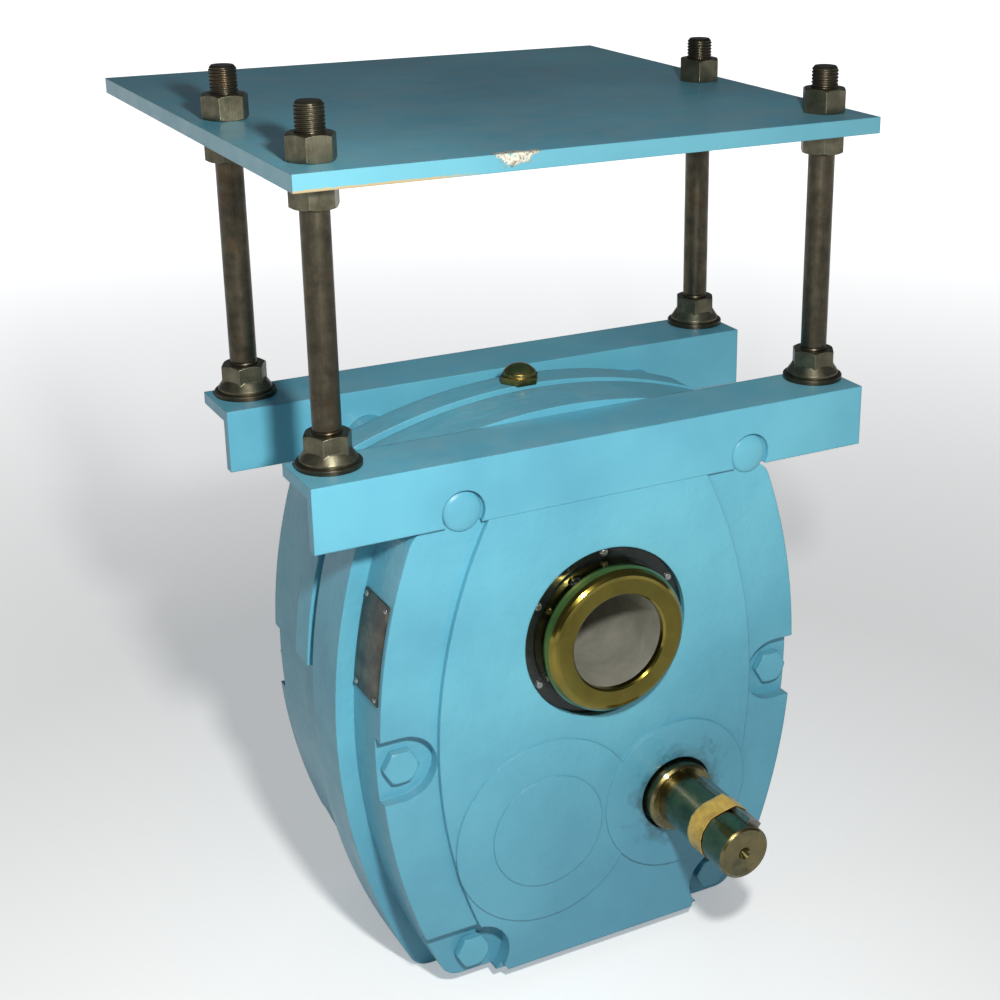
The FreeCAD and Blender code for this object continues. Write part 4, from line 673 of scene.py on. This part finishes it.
def crepe_spot(side, row, last):
    """A point of the tape. Its sides wave, its face creases and folds, and its end is torn."""
    turn = TAPE_START + 2 * math.pi * side / TAPE_SIDES
    across = row / TAPE_ROWS
    spot = Vector((math.cos(turn) * 2.2, math.sin(turn) * 2.2, side / TAPE_SIDES * 3))
    wave = noise.noise(spot + Vector((0, 0, 9 * round(across)))) * 0.9 * MM
    at_side = 1 if across in (0, 1) else 0.4
    crease = noise.noise(Vector((math.cos(turn) * 16, across * 3, math.sin(turn) * 16))) * 0.16 * MM
    fold = max(0.0, noise.noise(Vector((turn * 5, across * 2.4, 7.0))) - 0.25) * 0.8 * MM
    climb = CLIMB * eased((side - CLIMB_START) / CLIMB_SIDES)
    if side == last:
        turn += noise.noise(Vector((across * 9, 3.0, 1.0))) * 0.05
    reach = wrap_radius(turn - math.pi / 2 + KEY_ANGLE) + TAPE_SKIN + climb + abs(crease) + fold
    along = TAPE_LOW.y + (TAPE_HIGH.y - TAPE_LOW.y) * across + wave * at_side
    return (INPUT_AXIS.x + reach * math.cos(turn), along, INPUT_AXIS.z + reach * math.sin(turn))


def crepe_band(name):
    """The tape: one wrap round the shaft and its key, with a lapped end."""
    count = TAPE_SIDES + TAPE_LAP_SIDES
    points = [crepe_spot(side, row, count) for side in range(count + 1) for row in range(TAPE_ROWS + 1)]
    faces = []
    for side in range(count):
        for row in range(TAPE_ROWS):
            here = side * (TAPE_ROWS + 1) + row
            faces.append((here, here + 1, here + TAPE_ROWS + 2, here + TAPE_ROWS + 1))
    piece = piece_from(name, points, faces, "input_shaft", LOOKS["key_tape"], "key_tape")
    thick = piece.modifiers.new("thickness", "SOLIDIFY")
    thick.thickness = TAPE_SKIN * 0.8
    thick.offset = 1.0
    return piece


crepe_band("crepe_tape_band")

# ---------------------------------------------------------------- floor, light and camera

FLOOR_SIZE = 30.0
FLOOR_DARK = (0.80, 0.80, 0.80)
FLOOR_PALE = (0.86, 0.86, 0.86)


def pale_floor():
    """A square floor that glows a little, more so further out and to the camera, to look pale."""
    half = FLOOR_SIZE / 2
    mesh = bpy.data.meshes.new("floor")
    square = ((-half, -half), (half, -half), (half, half), (-half, half))
    mesh.from_pydata([(x, y, FLOOR_LEVEL) for x, y in square], [], [(0, 1, 2, 3)])
    floor = bpy.data.objects.new("floor", mesh)
    bpy.context.scene.collection.objects.link(floor)
    look = Look("pale_floor", specular_ior_level=0.2, emission_color=(1.0, 1.0, 1.0, 1.0))
    tone = look.shades(look.noise(1.5, 3.0), FLOOR_DARK, FLOOR_PALE)
    away = look.vector("DISTANCE", look.place, (0.0, 0.0, FLOOR_LEVEL))
    glow = look.range(away, 0.6, 2.8, 0.11, 0.85)
    camera_ray = look.add("ShaderNodeLightPath").outputs["Is Camera Ray"]
    seen = look.math("MULTIPLY", camera_ray, 0.25)
    look.feed(look.shader.inputs["Emission Strength"], look.math("ADD", glow, seen))
    dress(floor, look.finish(tone, 0.7))


pale_floor()


def area_light(name, place, target, size, power, colour):
    """A round lamp at a place, facing a target."""
    data = bpy.data.lights.new(name, "AREA")
    data.shape = "DISK"
    data.size = size
    data.energy = power
    data.color = colour
    light = bpy.data.objects.new(name, data)
    bpy.context.scene.collection.objects.link(light)
    light.location = place
    light.rotation_euler = (Vector(target) - Vector(place)).to_track_quat("-Z", "Y").to_euler()


def soft_sun(name, comes_from, strength, angle):
    """A weak, very soft light from far away, for the sides that the key light misses."""
    data = bpy.data.lights.new(name, "SUN")
    data.energy = strength
    data.angle = angle
    light = bpy.data.objects.new(name, data)
    bpy.context.scene.collection.objects.link(light)
    light.rotation_euler = Vector(comes_from).to_track_quat("Z", "Y").to_euler()
    light.visible_glossy = False


def pale_surroundings(light, shown):
    """Surroundings that give little light, but look white where the floor ends."""
    world = bpy.data.worlds.new("pale_surroundings")
    world.use_nodes = True
    tree = world.node_tree
    background = tree.nodes["Background"]
    background.inputs["Color"].default_value = (0.82, 0.91, 1.0, 1.0)
    path = tree.nodes.new("ShaderNodeLightPath")
    strength = tree.nodes.new("ShaderNodeMapRange")
    strength.inputs["To Min"].default_value = light
    strength.inputs["To Max"].default_value = shown
    tree.links.new(path.outputs["Is Camera Ray"], strength.inputs["Value"])
    tree.links.new(strength.outputs[0], background.inputs["Strength"])
    bpy.context.scene.world = world


area_light(
    "key", place=(-0.28, -0.86, 0.61), target=(-0.45, -0.1, 0.35), size=0.08, power=12.9,
    colour=(1.0, 0.99, 0.95),
)
soft_sun("back", comes_from=(0.5, 1.0, 0.25), strength=0.45, angle=math.radians(40))
pale_surroundings(light=0.11, shown=1.3)
bpy.context.scene.view_settings.view_transform = "Standard"

CAMERA_PLACE = Vector((-0.5734, -1.1411, 0.5806))
CAMERA_YAW = math.radians(30.4)
CAMERA_PITCH = math.radians(20.1)
CAMERA_ROLL = math.radians(0.5)
CAMERA_LENS = 63.3
CAMERA_SHIFT = (-0.1418, -0.0583)


def add_camera():
    """The camera looks along +Y, turned towards +X by the yaw and down by the pitch."""
    forward = Vector((
        math.sin(CAMERA_YAW) * math.cos(CAMERA_PITCH),
        math.cos(CAMERA_YAW) * math.cos(CAMERA_PITCH),
        -math.sin(CAMERA_PITCH),
    ))
    level = Vector((math.cos(CAMERA_YAW), -math.sin(CAMERA_YAW), 0))
    upright = level.cross(forward)
    right = level * math.cos(CAMERA_ROLL) + upright * math.sin(CAMERA_ROLL)
    up = upright * math.cos(CAMERA_ROLL) - level * math.sin(CAMERA_ROLL)
    data = bpy.data.cameras.new("camera")
    data.lens = CAMERA_LENS
    data.shift_x, data.shift_y = CAMERA_SHIFT
    camera = bpy.data.objects.new("camera", data)
    bpy.context.scene.collection.objects.link(camera)
    axes = Matrix((right, up, -forward)).transposed()
    camera.matrix_world = Matrix.Translation(CAMERA_PLACE) @ axes.to_4x4()
    bpy.context.scene.camera = camera


add_camera()
